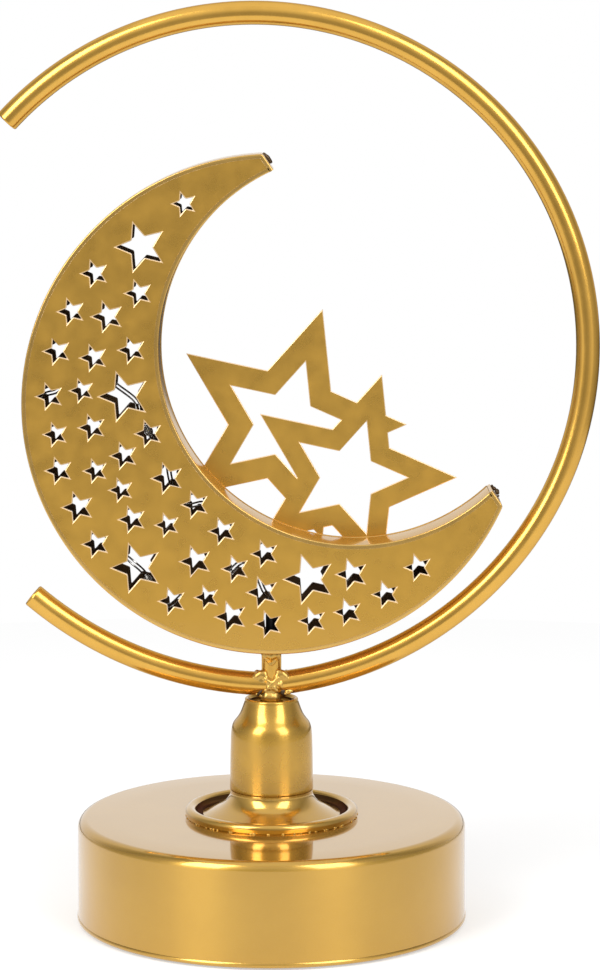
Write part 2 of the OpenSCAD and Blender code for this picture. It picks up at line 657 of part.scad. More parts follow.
module cell_door() {
    color([0.93, 0.91, 0.86]) {
        difference() {
            block(0, pocket_y, cover_rise, [door_l, door_w, door_t]);
            for (k = [0:grip_count - 1])
                block(door_l / 2 - (k + 2) * 2 * grip_w, pocket_y, cover_rise - cut,
                    [grip_w, open_w / 2, grip_depth + cut]);
        }
        // Ribs that the cells lie on
        for (s = [-1, 1]) block(0, pocket_y + s * cell_pitch / 2, door_top - seat,
            [open_l - door_travel * 2 - 4 * door_gap, hook_t, cover_top + cell_float / 2 - door_top + seat]);
        // Hooks with their lips over the ledges
        at_hooks(0) {
            translate([-hook_w / 2, open_w / 2 - door_gap - hook_t, door_top - seat])
                cube([hook_w, hook_t, lip_z + hook_lip - door_top + seat]);
            translate([-hook_w / 2, open_w / 2 - door_gap - hook_t, lip_z])
                cube([hook_w, hook_t + hook_reach + door_gap, hook_lip]);
        }
    }
}

module switch_housing() {
    color([0.70, 0.70, 0.68]) difference() {
        union() {
            block(switch_travel / 2, -switch_y, cover_top, [switch_l, switch_w, switch_h]);
            block(switch_travel / 2, -switch_y, cover_top, [switch_l + 2 * ear_l, switch_w, switch_wall]);
        }
        at_posts() translate([0, 0, cover_top - cut])
            cylinder(h = switch_wall + 2 * cut, d = post_d + 2 * seat);
        block(switch_travel / 2, -switch_y, cover_top - cut,
            [switch_l - 2 * switch_wall, switch_w - 2 * switch_wall, switch_h - switch_wall + cut]);
    }
}

module switch_slider() {
    shoe_l = switch_l - 2 * switch_wall - switch_travel - 2 * switch_gap;
    color([0.15, 0.15, 0.15]) {
        block(0, -switch_y, cover_rise - knob_proud,
            [knob_l, knob_w, cover_top + switch_gap + seat - cover_rise + knob_proud]);
        block(0, -switch_y, cover_top + switch_gap,
            [shoe_l, switch_w - 2 * switch_wall - 2 * switch_gap, switch_h - switch_wall - 2 * switch_gap]);
    }
}

module switch_pins() {
    color([0.80, 0.80, 0.78]) for (s = [-1, 0, 1])
        block(switch_travel / 2 + s * switch_l / 4, -switch_y, cover_top + switch_h, [pin_t, pin_w, pin_h]);
}

module base_wires() {
    color([0.75, 0.10, 0.10]) {
        swept(switch_wire_route, wire_d, 8, [0, 0.1, 1]);
        swept(return_wire_route, wire_d, 8, [0, 0.1, 1]);
    }
}

module lead_wire() {
    color([0.92, 0.90, 0.85]) swept(lead_route, lead_d, 8, [1, 0, 0]);
}

module stud_washer() {
    color([0.75, 0.75, 0.73]) translate([0, 0, can_inner_top - washer_t]) difference() {
        cylinder(h = washer_t, d = washer_d);
        translate([0, 0, -cut]) cylinder(h = washer_t + 2 * cut, d = stud_d + 2 * cover_gap);
    }
}

module stud_nut() {
    color([0.75, 0.75, 0.73]) translate([0, 0, can_inner_top - washer_t - nut_t]) difference() {
        cylinder(h = nut_t, r = nut_af / 2 / cos(30), $fn = 6);
        translate([0, 0, -cut]) cylinder(h = nut_t + 2 * cut, d = stud_d + 2 * seat);
    }
}

module stem_stud() {
    color([0.75, 0.75, 0.73]) translate([0, 0, stud_bottom]) difference() {
        cylinder(h = stud_top - stud_bottom, d = stud_d);
        translate([0, 0, -cut]) cylinder(h = stud_top - stud_bottom + 2 * cut, d = stud_bore);
    }
}

module stem_plate() {
    color([0.70, 0.70, 0.68]) translate([0, 0, seam_z]) difference() {
        cylinder(h = plate_t, r = bell_r_at(plate_t) - spun_t - seat);
        translate([0, 0, -cut]) cylinder(h = plate_t + 2 * cut, d = stud_d + 2 * seat);
    }
}

module foot_flange() {
    flare_from = 180;
    flare_to = 260;
    // The rolled rim turns clockwise, from where it leaves the flare round to the dish's underside
    roll_from = 190;
    roll_to = -125;
    flare_c = [neck_r + flare_r, base_top + flange_h * 0.74];
    roll_r = rim_roll_d / 2;
    roll_c = [flange_d / 2 - roll_r, base_top + seat + roll_r];
    hole_r = stud_d / 2 + cover_gap;
    color([0.80, 0.60, 0.25]) rotate_extrude() polygon(concat(
        // Web under the bell and neck, then the flare, the rolled rim and the dish's underside
        [[hole_r, seam_z - spun_t], [hole_r, seam_z], [neck_r, seam_z]],
        arc(flare_c, flare_r, flare_from, flare_to, 16),
        arc(roll_c, roll_r, roll_from, roll_to, 24),
        arc(flare_c, flare_r + spun_t, flare_to, flare_from, 16),
        [[neck_r - spun_t, seam_z - spun_t]]
    ));
}

module stem_bell() {
    shoulder_r = bell_top_d / 2;
    round_r = 2 * spun_t;
    cone_low = shoulder_r - 1.6 * spun_t;
    roll_r = lip_roll_d / 2;
    lip_r = lip_d / 2;
    // How far the shoulder's rounding turns before the cone
    shoulder_turn = 55;
    outline = [[neck_r, seam_z], [shoulder_r, shoulder_z]];
    cone = concat(
        arc([shoulder_r - round_r, shoulder_z], round_r, 0, shoulder_turn, 8),
        [[cone_low - 0.6 * spun_t, shoulder_z + cone_h * 0.3], [lip_r - roll_r, lip_z_top - roll_r]]
    );
    outer = concat(outline, cone);
    inner = [for (i = [len(outer) - 1:-1:0]) outer[i] - [spun_t, i < len(outline) ? 0 : spun_t / 2]];
    color([0.80, 0.60, 0.25]) rotate_extrude() {
        polygon(concat(outer, inner));
        translate([lip_r - roll_r, lip_z_top - roll_r]) circle(roll_r);
    }
}

module strut_tube() {
    color([0.80, 0.60, 0.25]) difference() {
        translate([0, 0, stud_top]) cylinder(h = crescent_foot - stud_top + cut, d = strut_d);
        translate([0, 0, stud_top - cut]) cylinder(h = crescent_foot - stud_top + 3 * cut, d = strut_bore);
        translate([crescent_right, 0, crescent_z]) rotate([90, 0, 0])
            cylinder(h = strut_d + 2 * cut, r = crescent_r + seat, center = true);
    }
}

// Bent tube in the upright plane, round the centre c from angle a to angle b
module bent_tube(c, r, a, b, d) {
    translate([c[0], 0, c[1]]) rotate([90, 0, 0]) rotate(a) rotate_extrude(angle = b - a)
        translate([r, 0]) difference() {
            circle(d / 2);
            circle(tube_r - tube_wall);
        }
}

// Solid bar along the same bend, for cutting clear of the tube
module bent_bar(c, r, a, b, d) {
    translate([c[0], 0, c[1]]) rotate([90, 0, 0]) rotate(a) rotate_extrude(angle = b - a)
        translate([r, 0]) circle(d / 2);
}

// Angles where the two arcs reach the strut
function long_start() = -acos((cope_x - ease_x) / ring_ease_r);
function short_start() = -acos((-cope_x - short_x) / ring_short_r);

module strut_hole() {
    translate([0, 0, ring_axis_z - tube_d]) cylinder(h = 2 * tube_d, r = strut_r + seat);
}

module ring_long_arc() {
    color([0.80, 0.60, 0.25]) difference() {
        union() {
            bent_tube([ring_x, ring_z], ring_r, ease_angle, ring_end_angle, tube_d);
            bent_tube([ease_x, ease_z], ring_ease_r, ease_angle, long_start(), tube_d);
        }
        strut_hole();
    }
}

module ring_short_arc() {
    color([0.80, 0.60, 0.25]) difference() {
        bent_tube([short_x, short_z], ring_short_r, short_end_angle, short_start(), tube_d);
        strut_hole();
    }
}

// Weld lumps along the joint of the ring and the strut, front and back
module ring_welds() {
    weld_turn = 20;
    color([0.74, 0.55, 0.22]) difference() {
        for (f = [-1, 1], v = [-1, 1], a = [10:weld_turn:170]) {
            y = (strut_r + weld_d / 6) * sin(a);
            z = sqrt(max(0, tube_r * tube_r - y * y / 1.2));
            translate([(strut_r + weld_d / 6) * cos(a), f * y, ring_axis_z + v * z])
                sphere(d = weld_d * (1 + 0.15 * sin(7 * a + 40 * v + 20 * f)), $fn = 24);
        }
        translate([0, 0, ring_axis_z - 2 * tube_d]) cylinder(h = 4 * tube_d, r = strut_r + 2 * seat);
        bent_bar([ease_x, ease_z], ring_ease_r, long_start() - 1, long_start() + 10, tube_d + 4 * seat);
        bent_bar([short_x, short_z], ring_short_r, short_start() - 10, short_start() + 1, tube_d + 4 * seat);
        // The bell's lip stays clear
        translate([0, 0, lip_z_top - tube_d]) cylinder(h = tube_d + ring_lift / 4, d = lip_d);
    }
}

// Weld lumps round the strut's head, under the crescent
module crescent_welds() {
    color([0.74, 0.55, 0.22]) difference() {
        for (a = [0:30:330])
            rotate(a) translate([strut_r + weld_d / 5, 0, crescent_foot - weld_d / 5])
                sphere(d = weld_d * (1 + 0.2 * sin(5 * a)), $fn = 24);
        translate([0, 0, ring_axis_z]) cylinder(h = tube_d + 2 * crescent_lift, r = strut_r + 2 * seat);
        translate([crescent_right, 0, crescent_z]) rotate([90, 0, 0])
            cylinder(h = box_depth, r = crescent_r + 2 * seat, center = true, $fn = 360);
    }
}

// Crescent outline in X and Z, grown by g on every side
module crescent_outline(g) {
    difference() {
        translate([crescent_right, crescent_z]) circle(crescent_r + g);
        translate([bay_x, bay_z]) circle(bay_r - g);
        translate([crescent_right, crescent_z]) rotate(crescent_tilt)
            translate([tip_cut + g, -2 * crescent_r]) square([2 * crescent_r, 4 * crescent_r]);
    }
}

// Everything that stops short of the blunt tips by the length back
module short_of_tips(back) {
    translate([crescent_right, crescent_z]) rotate(crescent_tilt)
        translate([-2 * crescent_r, -2 * crescent_r])
            square([2 * crescent_r + tip_cut - back, 4 * crescent_r]);
}

module crescent_outer_rim() {
    color([0.82, 0.66, 0.38]) difference() {
        upright(-box_depth / 2, box_depth) difference() {
            crescent_outline(0);
            crescent_outline(-sheet);
            intersection() {
                translate([bay_x, bay_z]) circle(bay_r + plate_inset);
                short_of_tips(plate_inset);
            }
        }
        translate([0, 0, crescent_foot - cut]) cylinder(h = sheet + 3 * cut, d = strut_bore);
    }
}

module crescent_inner_rim() {
    color([0.85, 0.74, 0.58]) upright(-box_depth / 2, box_depth) intersection() {
        difference() {
            translate([bay_x, bay_z]) circle(bay_r + sheet);
            translate([bay_x, bay_z]) circle(bay_r);
        }
        crescent_outline(cut);
        translate([crescent_right, crescent_z]) circle(crescent_r - plate_inset);
        short_of_tips(plate_inset + seat);
    }
}

// Star-pierced plate that fits inside the rims, with its face at y
module crescent_plate(y) {
    upright(y, sheet) difference() {
        crescent_outline(-plate_inset);
        for (s = star_hole_shares) {
            near = bay_edge(s[0]);
            width = crescent_r - near;
            room = width * min(s[1], 1 - s[1]) - plate_inset - star_web;
            translate([crescent_right, crescent_z] + (near + s[1] * width) * [cos(s[0]), sin(s[0])])
                polygon(star(min(star_sizes[s[2]], room), hole_notch_share, 180));
        }
    }
}

module crescent_front_plate() {
    color([0.74, 0.56, 0.24]) crescent_plate(-box_depth / 2);
}

module crescent_back_plate() {
    color([0.74, 0.56, 0.24]) crescent_plate(box_depth / 2 - sheet);
}

module rim_grommet() {
    collar_t = sheet;
    color([0.15, 0.15, 0.15]) difference() {
        union() {
            translate([0, 0, crescent_foot + seat])
                cylinder(h = sheet + collar_t + 2 * seat, d = strut_bore - 2 * seat);
            translate([0, 0, crescent_foot + sheet + 3 * seat])
                cylinder(h = collar_t, d = strut_bore + 2 * collar_t);
        }
        translate([0, 0, crescent_foot - cut]) cylinder(h = 3 * sheet + 2 * cut, d = lead_d + 2 * seat);
    }
}

module lead_sleeve() {
    color([0.15, 0.15, 0.15]) translate([0, 0, joint_z - sleeve_l / 2]) difference() {
        cylinder(h = sleeve_l, d = sleeve_d);
        translate([0, 0, -cut]) cylinder(h = sleeve_l + 2 * cut, d = lead_d + 2 * seat);
    }
}

module light_wires() {
    color([0.75, 0.75, 0.74]) for (s = [-1, 1])
        swept(moved(string_route, [0, 1, 0], s * strand_pitch / 2), strand_d, 8, [0, 1, 0]);
}

// Clear drops moulded round both strands, each at the middle of its stretch
module light_drops() {
    color([0.95, 0.93, 0.85]) for (i = drop_stretches) {
        a = string_route[i];
        b = string_route[i + 1];
        run = unit(b - a);
        strands = [for (s = [-1, 1])
            let (p = moved(string_route, [0, 1, 0], s * strand_pitch / 2)) [p[i], p[i + 1]]];
        difference() {
            translate((a + b) / 2) rotate([0, acos(run[2]), atan2(run[1], run[0])]) {
                cylinder(h = drop_l - drop_d, d = drop_d, center = true, $fn = 24);
                for (s = [-1, 1]) translate([0, 0, s * (drop_l - drop_d) / 2]) sphere(d = drop_d, $fn = 24);
            }
            for (q = strands) {
                way = unit(q[1] - q[0]);
                translate(q[0]) rotate([0, acos(way[2]), atan2(way[1], way[0])])
                    cylinder(h = norm(q[1] - q[0]), d = strand_d + 2 * seat, $fn = 24);
            }
        }
    }
}

// The sheet of two stars: the left star runs up to the right star's outline and joins it
module star_sheet() {
    color([0.78, 0.60, 0.28]) upright(box_depth / 2, sheet) translate([bay_x, bay_z]) intersection() {
        union() {
            difference() {
                translate(left_star) polygon(star(left_star_r, sheet_notch_share, 0));
                translate(left_star) polygon(star(left_star_r * star_open_share, sheet_notch_share, 0));
                translate(right_star) polygon(star(right_star_r, sheet_notch_share, 0));
            }
            difference() {
                translate(right_star) polygon(star(right_star_r, sheet_notch_share, 0));
                translate(right_star) polygon(star(right_star_r * star_open_share, sheet_notch_share, 0));
            }
        }
        circle(lap_r);
    }
}

// Weld lumps in the corner between the sheet's lapped tips and the back plate
module sheet_welds() {
    // A star's tips that point down to the left and down to the right
    tip_left = 216;
    tip_right = 288;
    tips = [[left_star, tip_left], [right_star, tip_left], [right_star, tip_right]];
    color([0.74, 0.55, 0.22]) for (t = tips) {
        place = t[0] + reach(t[0], t[1], lap_r + seat + weld_d / 2) * [cos(t[1]), sin(t[1])];
        translate([bay_x + place[0], box_depth / 2, bay_z + place[1]]) difference() {
            sphere(d = weld_d, $fn = 24);
            block(0, -weld_d, -weld_d, [2 * weld_d, 2 * weld_d, 2 * weld_d]);
        }
    }
}

placed() base_can();
placed() base_cover();
placed() rubber_feet();
placed() cover_brackets();
placed() cover_screws();
placed() cell_near();
placed() cell_far();
placed() contact_plates();
placed() contact_springs();
placed() cell_door();
placed() switch_housing();
placed() switch_slider();
placed() switch_pins();
placed() base_wires();
placed() lead_wire();
placed() stud_washer();
placed() stud_nut();
placed() stem_stud();
placed() stem_plate();
placed() foot_flange();
placed() stem_bell();
placed() strut_tube();
placed() ring_long_arc();
placed() ring_short_arc();
placed() ring_welds();
placed() crescent_welds();
placed() crescent_outer_rim();
placed() crescent_inner_rim();
placed() crescent_front_plate();
placed() crescent_back_plate();
placed() rim_grommet();
placed() lead_sleeve();
placed() light_wires();
placed() light_drops();
placed() star_sheet();
placed() sheet_welds();
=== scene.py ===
# %% [markdown]
# # A moon and stars table ornament in gold lacquer
#
# The ornament is sheet metal and tube, sprayed with gold lacquer after welding. The frame brings every
# piece at its real size. This lesson gives them their finish, and builds again, as finer meshes, the
# pieces whose smooth curves carry the reflections: the spun base, foot and bell, the bent tubes, the
# crescent's strips, the welds and the string of lights.

# %% The frame
import math
import random

import bmesh
import bpy
import numpy as np
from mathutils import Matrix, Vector


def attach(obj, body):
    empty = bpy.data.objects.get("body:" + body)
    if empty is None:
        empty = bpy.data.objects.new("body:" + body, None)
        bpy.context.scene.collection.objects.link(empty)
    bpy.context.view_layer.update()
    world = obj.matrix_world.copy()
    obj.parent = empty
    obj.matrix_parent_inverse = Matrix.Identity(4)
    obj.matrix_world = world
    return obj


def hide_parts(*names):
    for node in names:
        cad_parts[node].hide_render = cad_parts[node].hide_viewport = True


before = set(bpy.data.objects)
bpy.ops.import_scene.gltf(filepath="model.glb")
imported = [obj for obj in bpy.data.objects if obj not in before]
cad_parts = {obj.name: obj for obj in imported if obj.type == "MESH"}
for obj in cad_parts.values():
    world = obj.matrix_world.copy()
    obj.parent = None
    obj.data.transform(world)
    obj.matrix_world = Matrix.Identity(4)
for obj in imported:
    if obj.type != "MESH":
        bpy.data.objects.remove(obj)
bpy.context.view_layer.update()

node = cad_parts

# %% [markdown]
# ## Places
#
# The ornament's sizes are easiest to read in millimetres from the strut's axis, which stands a little
# left of the origin. Every mesh below is laid out that way and turned into metres in one place, so that
# a radius in the code is the radius that a ruler would find.

# %% Millimetres from the strut to metres in the scene
STRUT_LEFT = 7.39
BASE_R = 51.0
BASE_TOP = 27.4
SEAM_Z = BASE_TOP + 6.9
LIP_Z = SEAM_Z + 24.1
RING_Z = LIP_Z + 3.9
STRUT_R = 2.6
TUBE_R = 3.1
MOON_FOOT = RING_Z + TUBE_R + 5.9
# The wall of every sheet and tube
SHEET = 0.8
SMOOTH_LIMIT = math.radians(38)
print("ring's axis at the strut:", round(RING_Z, 2), "mm, crescent's foot:", round(MOON_FOOT, 2), "mm")


def spot(x, y, z):
    """A place in the scene, from millimetres right of, behind and above the strut's foot."""
    return Vector(((x - STRUT_LEFT) / 1000, y / 1000, z / 1000))


def put(name, data):
    """A new object of the scene that holds a mesh, a lamp or a camera."""
    made = bpy.data.objects.new(name, data)
    bpy.context.scene.collection.objects.link(made)
    return made


def settle(mesh, shell):
    """Writes a bmesh into a mesh, shaded smooth, and frees it."""
    shell.to_mesh(mesh)
    shell.free()
    mesh.polygons.foreach_set("use_smooth", [True] * len(mesh.polygons))
    return mesh


def piece_of(name, shell):
    """A smooth piece from a bmesh that is already in metres, riding on the stand."""
    piece = put(name, settle(bpy.data.meshes.new(name), shell))
    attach(piece, "stand")
    return piece


def piece_from(name, points, faces):
    """A smooth piece from points in millimetres, riding on the stand."""
    mesh = bpy.data.meshes.new(name)
    mesh.from_pydata([spot(*p) for p in points], [], faces)
    shell = bmesh.new()
    shell.from_mesh(mesh)
    bmesh.ops.recalc_face_normals(shell, faces=shell.faces)
    settle(mesh, shell).set_sharp_from_angle(angle=SMOOTH_LIMIT)
    piece = put(name, mesh)
    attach(piece, "stand")
    print(name, "has", len(mesh.polygons), "faces")
    return piece


def arc(middle, radius, start, end, steps):
    """Points of an arc, given in degrees, as (x, z) pairs."""
    turn = np.radians(np.linspace(start, end, steps + 1))
    return [(middle[0] + radius * math.cos(a), middle[1] + radius * math.sin(a)) for a in turn]


# %% [markdown]
# ## Nodes in few words
#
# Every finish is a small net of nodes. These helpers add a node with its settings, feed it with a constant
# or with another node, and stretch or mix what comes out, so that a finish below reads as a recipe.

# %% Nodes and what feeds them
# The colour sockets of a Mix node, which has others of the same names
MIX_FIRST, MIX_SECOND, MIX_COLOUR = 6, 7, 2


def link(mat, a, out, b, into):
    """Joins an output of one node to an input of another."""
    mat.node_tree.links.new(a.outputs[out], b.inputs[into])


def full(value):
    """A number as it is, or a colour of three parts as an opaque one."""
    return (*value, 1) if isinstance(value, tuple) else value


def set_inputs(made, **values):
    """Sets a node's inputs by name, with _ for a space."""
    for key, value in values.items():
        made.inputs[key.replace("_", " ")].default_value = full(value)


def add(mat, kind, **settings):
    """One shader node, with its plain settings and its inputs by name."""
    made = mat.node_tree.nodes.new("ShaderNode" + kind)
    for key, value in settings.items():
        if hasattr(made, key):
            setattr(made, key, value)
        else:
            set_inputs(made, **{key: value})
    return made


def feed(mat, made, socket, value):
    """Feeds an input with a constant, or with another node's output given as (node, socket)."""
    if isinstance(value, tuple) and isinstance(value[0], bpy.types.Node):
        link(mat, *value, made, socket)
    else:
        made.inputs[socket].default_value = full(value)


def joined(mat, kind, *sources, **settings):
    """A node whose first inputs are fed, in their order, with constants or (node, socket) pairs."""
    made = add(mat, kind, **settings)
    for number, source in enumerate(sources):
        feed(mat, made, number, source)
    return made


def worked(mat, operation, *terms, **settings):
    """The result of a sum on constants or (node, socket) pairs."""
    return joined(mat, "Math", *terms, operation=operation, **settings)


def parts_of(mat, source, out):
    """The three parts of a place or a direction."""
    split = add(mat, "SeparateXYZ")
    link(mat, source, out, split, "Vector")
    return split


def spread(mat, source, out, low, high, to_low, to_high):
    """Stretches one range of a value over another."""
    made = add(mat, "MapRange", From_Min=low, From_Max=high, To_Min=to_low, To_Max=to_high)
    link(mat, source, out, made, "Value")
    return made


def mixed(mat, factor, out, first, second):
    """Mixes two colours, each a constant or a (node, socket) pair, by a factor."""
    made = add(mat, "Mix", data_type="RGBA")
    link(mat, factor, out, made, "Factor")
    feed(mat, made, MIX_FIRST, first)
    feed(mat, made, MIX_SECOND, second)
    return made

# %% [markdown]
# ## Gold lacquer
#
# Gold paint of this kind is fine metal flake in clear lacquer. It mirrors its surroundings like metal,
# but softly, it has faint clouds where the spray lay thicker, a grain of flakes finer than a tenth of a
# millimetre, and a clear skin with the ripple called orange peel. One builder makes all the golds:
# clouds mix two close tints, a finer noise sprinkles the flakes, and a bump gives the ripple. Only the
# tints, the roughness and the gloss of the skin differ from piece to piece.

# %% Ways to vary a finish
# Nearly all of a noise lies in this range
NOISE_LOW, NOISE_HIGH = 0.3, 0.7


def noise(mat, where, size_mm, detail=2.0, rough=0.5):
    """Noise with features of about this size."""
    made = add(mat, "TexNoise", Scale=1000.0 / size_mm, Detail=detail, Roughness=rough)
    link(mat, where, "Object", made, "Vector")
    return made


def coloured(mat, mix, shader, into="Base Color"):
    """Gives a shader the colour that a Mix node makes."""
    link(mat, mix, MIX_COLOUR, shader, into)


def mottled(mat, patches, skin, tint, other):
    """Lets the colour wander between two tints with a noise."""
    coloured(mat, mixed(mat, patches, "Fac", tint, other), skin)


def worn(mat, patches, skin, low, high):
    """Lets the roughness wander between two values with a noise."""
    wander = spread(mat, patches, "Fac", NOISE_LOW, NOISE_HIGH, low, high)
    link(mat, wander, "Result", skin, "Roughness")


def rippled(mat, height, skin, height_um):
    """Raises the surface with a noise, by this many thousandths of a millimetre."""
    bump = add(mat, "Bump", Strength=1.0, Distance=height_um / 1e6)
    link(mat, height, "Fac", bump, "Height")
    link(mat, bump, "Normal", skin, "Normal")


def bare_material(name):
    """A material with no nodes yet."""
    mat = bpy.data.materials.new(name)
    mat.use_nodes = True
    mat.node_tree.nodes.clear()
    return mat


def new_finish(name):
    """A material with its shader, and the node that says where on the piece a noise is."""
    mat = bare_material(name)
    where = add(mat, "TexCoord")
    skin = add(mat, "BsdfPrincipled")
    link(mat, skin, "BSDF", add(mat, "OutputMaterial"), "Surface")
    return mat, where, skin

# %% A builder for gold lacquer
GOLD = (0.690, 0.396, 0.068)
GOLD_DEEP = (0.560, 0.302, 0.042)
GOLD_PALE = (0.860, 0.620, 0.280)
# A pale cream, painted on the cut edges as a painted highlight
EDGE_HIGHLIGHT = (0.760, 0.600, 0.440)
FLAKE_SHARE = 0.88
SPARKLE = 0.08
CLEAR_ROUGH = 0.05


def gold_lacquer(name, tint=GOLD, deep=GOLD_DEEP, rough=0.22, clear=0.4, cloud=0.35, peel_um=4.0,
                 peel_mm=1.6, turned=0.0, rim=(0.60, 0.50, 0.38)):
    """Metal flake lacquer. Returns the material with the parts that a piece may add to."""
    mat, where, skin = new_finish(name)
    clouds = noise(mat, where, 14, detail=4, rough=0.55)
    cloudy = spread(mat, clouds, "Fac", NOISE_LOW, NOISE_HIGH, 0.0, cloud)
    body = mixed(mat, cloudy, "Result", tint, deep)
    flakes = noise(mat, where, 0.12, detail=1)
    sparkle = spread(mat, flakes, "Fac", 0.5, 0.8, 0.0, SPARKLE)
    paint = mixed(mat, sparkle, "Result", (body, MIX_COLOUR), GOLD_PALE)
    coloured(mat, paint, skin)
    worn(mat, noise(mat, where, 5, detail=3), skin, rough * 0.85, rough * 1.2)
    rippled(mat, noise(mat, where, peel_mm, detail=1), skin, peel_um)
    set_inputs(skin, Metallic=FLAKE_SHARE, Coat_Weight=clear, Coat_Roughness=CLEAR_ROUGH, Specular_Tint=rim)
    if turned:
        grain = add(mat, "Tangent", direction_type="RADIAL", axis="Z")
        link(mat, grain, "Tangent", skin, "Tangent")
        set_inputs(skin, Anisotropic=turned, Anisotropic_Rotation=0.25)
    return mat, where, skin, paint


def gold(name, **choices):
    """A gold to which nothing more is added."""
    return gold_lacquer(name, **choices)[0]


def facing(mat):
    """The way that the surface faces, in its three parts."""
    return parts_of(mat, add(mat, "NewGeometry"), "Normal")


def dress(piece, *finishes, slot=None):
    """Gives a new piece its finishes. The slot that it names is not used."""
    for finish in finishes:
        piece.data.materials.append(finish)

# %% The golds
# The top is pressed flat and shines. The side keeps the satin of the drawing die.
SATIN, SHINE = 0.33, 0.09
base_gold, _, skin, _ = gold_lacquer("base_gold", tint=(0.580, 0.335, 0.046), deep=(0.490, 0.268, 0.034),
                                     clear=1.0, peel_um=2, peel_mm=2.5, turned=0.75, rim=(0.95, 0.9, 0.85))
upward = spread(base_gold, facing(base_gold), "Z", 0.3, 0.9, SATIN, SHINE)
link(base_gold, upward, "Result", skin, "Roughness")
SPUN = {"tint": (0.600, 0.348, 0.052), "deep": (0.500, 0.276, 0.036), "peel_um": 1.5}
bell_gold = gold("bell_gold", rough=0.26, clear=0.6, turned=0.6, rim=(0.8, 0.72, 0.6), **SPUN)
foot_gold = gold("foot_gold", rough=0.2, clear=1.0, rim=(1, 0.97, 0.92), **SPUN)
# Nearly black brown, painted shade for the foot's trough and the wall of the bell's mouth
trough_shade = gold("trough_shade", tint=(0.130, 0.066, 0.026), deep=(0.055, 0.027, 0.012), rough=0.38,
                   clear=0.0, cloud=0.8, peel_um=3, rim=(0.30, 0.18, 0.10))
tube_gold = gold("tube_gold", tint=(0.760, 0.434, 0.080), rough=0.2, clear=0.25, peel_um=2, cloud=0.45)
strip_gold = gold("strip_gold", tint=(0.68, 0.42, 0.11), rough=0.24, clear=0.5, peel_um=2,
                  rim=(0.9, 0.82, 0.7))
weld_gold = gold("weld_gold", tint=(0.72, 0.46, 0.11), deep=(0.44, 0.25, 0.05), rough=0.32, clear=0.35,
                 cloud=0.9, peel_um=5, peel_mm=0.7)
# Nearly black, painted shade on the lumps in the weld's crevices and at the horns' ends
weld_shade = gold("weld_shade", tint=(0.050, 0.032, 0.020), deep=(0.09, 0.06, 0.035), rough=0.45,
                  clear=0.15, cloud=0.9, peel_um=4, peel_mm=0.8, rim=(0.5, 0.38, 0.28))
print("gold finishes:", [m.name for m in bpy.data.materials if m.name.endswith("_gold")])

# %% [markdown]
# ## Painted highlights on the cut edges and painted shade inside
#
# The plates are pierced before they are sprayed. Their sharp cut edges are painted pale cream, a painted
# highlight for the line of light round every star, and the faces inside the box are painted nearly black
# as painted shade. Both follow from the shape alone, so the finish asks which way the surface faces and how
# far it lies from the middle of the box.

# %% Plate lacquer with painted cream highlights on its edges and painted shade inside
# The plates' inner sides lie nearer to the box's middle than this, in metres
INSIDE_DEPTH = 0.0060
# How far a face looks to the front or the back, from a cut edge to the flat of the plate
CUT_FACE, FLAT_FACE = 0.86, 0.985
# Nearly black, painted shade for the faces inside the box
INSIDE_SHADE_TINT = (0.120, 0.068, 0.032)


def sideways(mat):
    """Runs from 1 on surfaces that face sideways to 0 on those that face the front or the back."""
    size = worked(mat, "ABSOLUTE", (facing(mat), "Y"))
    return spread(mat, size, "Value", CUT_FACE, FLAT_FACE, 1.0, 0.0)


def plate_finish(name, **choices):
    """Gold lacquer with a painted highlight: the cut edges turn pale cream and lose most of their metal."""
    mat, where, skin, paint = gold_lacquer(name, **choices)
    # Painted highlight: faces that look sideways, the cut edges, are mixed to pale cream
    side = sideways(mat)
    edged = mixed(mat, side, "Result", (paint, MIX_COLOUR), EDGE_HIGHLIGHT)
    coloured(mat, edged, skin)
    link(mat, spread(mat, side, "Result", 0, 1, FLAKE_SHARE, 0.1), "Result", skin, "Metallic")
    return mat, where, skin, edged


def shade_inside(mat, where, skin, edged):
    """Paints nearly black shade on the faces that look into the box, and takes most of their metal away."""
    # Painted shade: faces inside the box are mixed to nearly black
    depth = worked(mat, "ABSOLUTE", (parts_of(mat, where, "Object"), "Y"))
    inner = worked(mat, "LESS_THAN", (depth, "Value"), INSIDE_DEPTH)
    coloured(mat, mixed(mat, inner, "Value", (edged, MIX_COLOUR), INSIDE_SHADE_TINT), skin)
    shine = skin.inputs["Metallic"].links[0].from_node
    shade_side = worked(mat, "SUBTRACT", (shine, "Result"), (inner, "Value"), use_clamp=True)
    link(mat, shade_side, "Value", skin, "Metallic")
    return mat


plate_gold = shade_inside(*plate_finish("plate_gold", rough=0.3, clear=0.3, cloud=0.16, peel_um=1.5))
star_gold = plate_finish("star_gold", rough=0.3, clear=0.3, cloud=0.15, peel_um=1.5)[0]
# The painted shade of the box's inside, for the strips' inner faces
box_shade, where, skin = new_finish("box_inside_shade")
mottled(box_shade, noise(box_shade, where, 3, detail=4), skin, INSIDE_SHADE_TINT, (0.07, 0.04, 0.02))
set_inputs(skin, Roughness=0.6)
print("plate finishes:", plate_gold.name, star_gold.name, box_shade.name)

# %% [markdown]
# ## Spun and pressed shells
#
# The base can, the foot and the bell are all round about the strut's axis. On the real product they are
# pressed or spun from sheet, so each has a constant wall, a rolled or hemmed edge and soft corners. A
# closed outline of the wall, turned round the axis in many fine steps, gives exactly that, and keeps the
# long reflections free of facets.

# %% Turning an outline round the axis
TURN_STEPS = 240


def spun(name, outline):
    """Turns a closed outline of (radius, height) pairs into a shell."""
    count = len(outline)
    points = []
    for step in range(TURN_STEPS):
        a = 2 * math.pi * step / TURN_STEPS
        points += [(r * math.cos(a), r * math.sin(a), z) for r, z in outline]
    faces = []
    for step in range(TURN_STEPS):
        here, there = step * count, (step + 1) % TURN_STEPS * count
        for k in range(count):
            n = (k + 1) % count
            faces.append((here + k, there + k, there + n, here + n))
    return piece_from(name, points, faces)


STUD_HOLE_R = 4.4
CAN_ROUND = 2.5
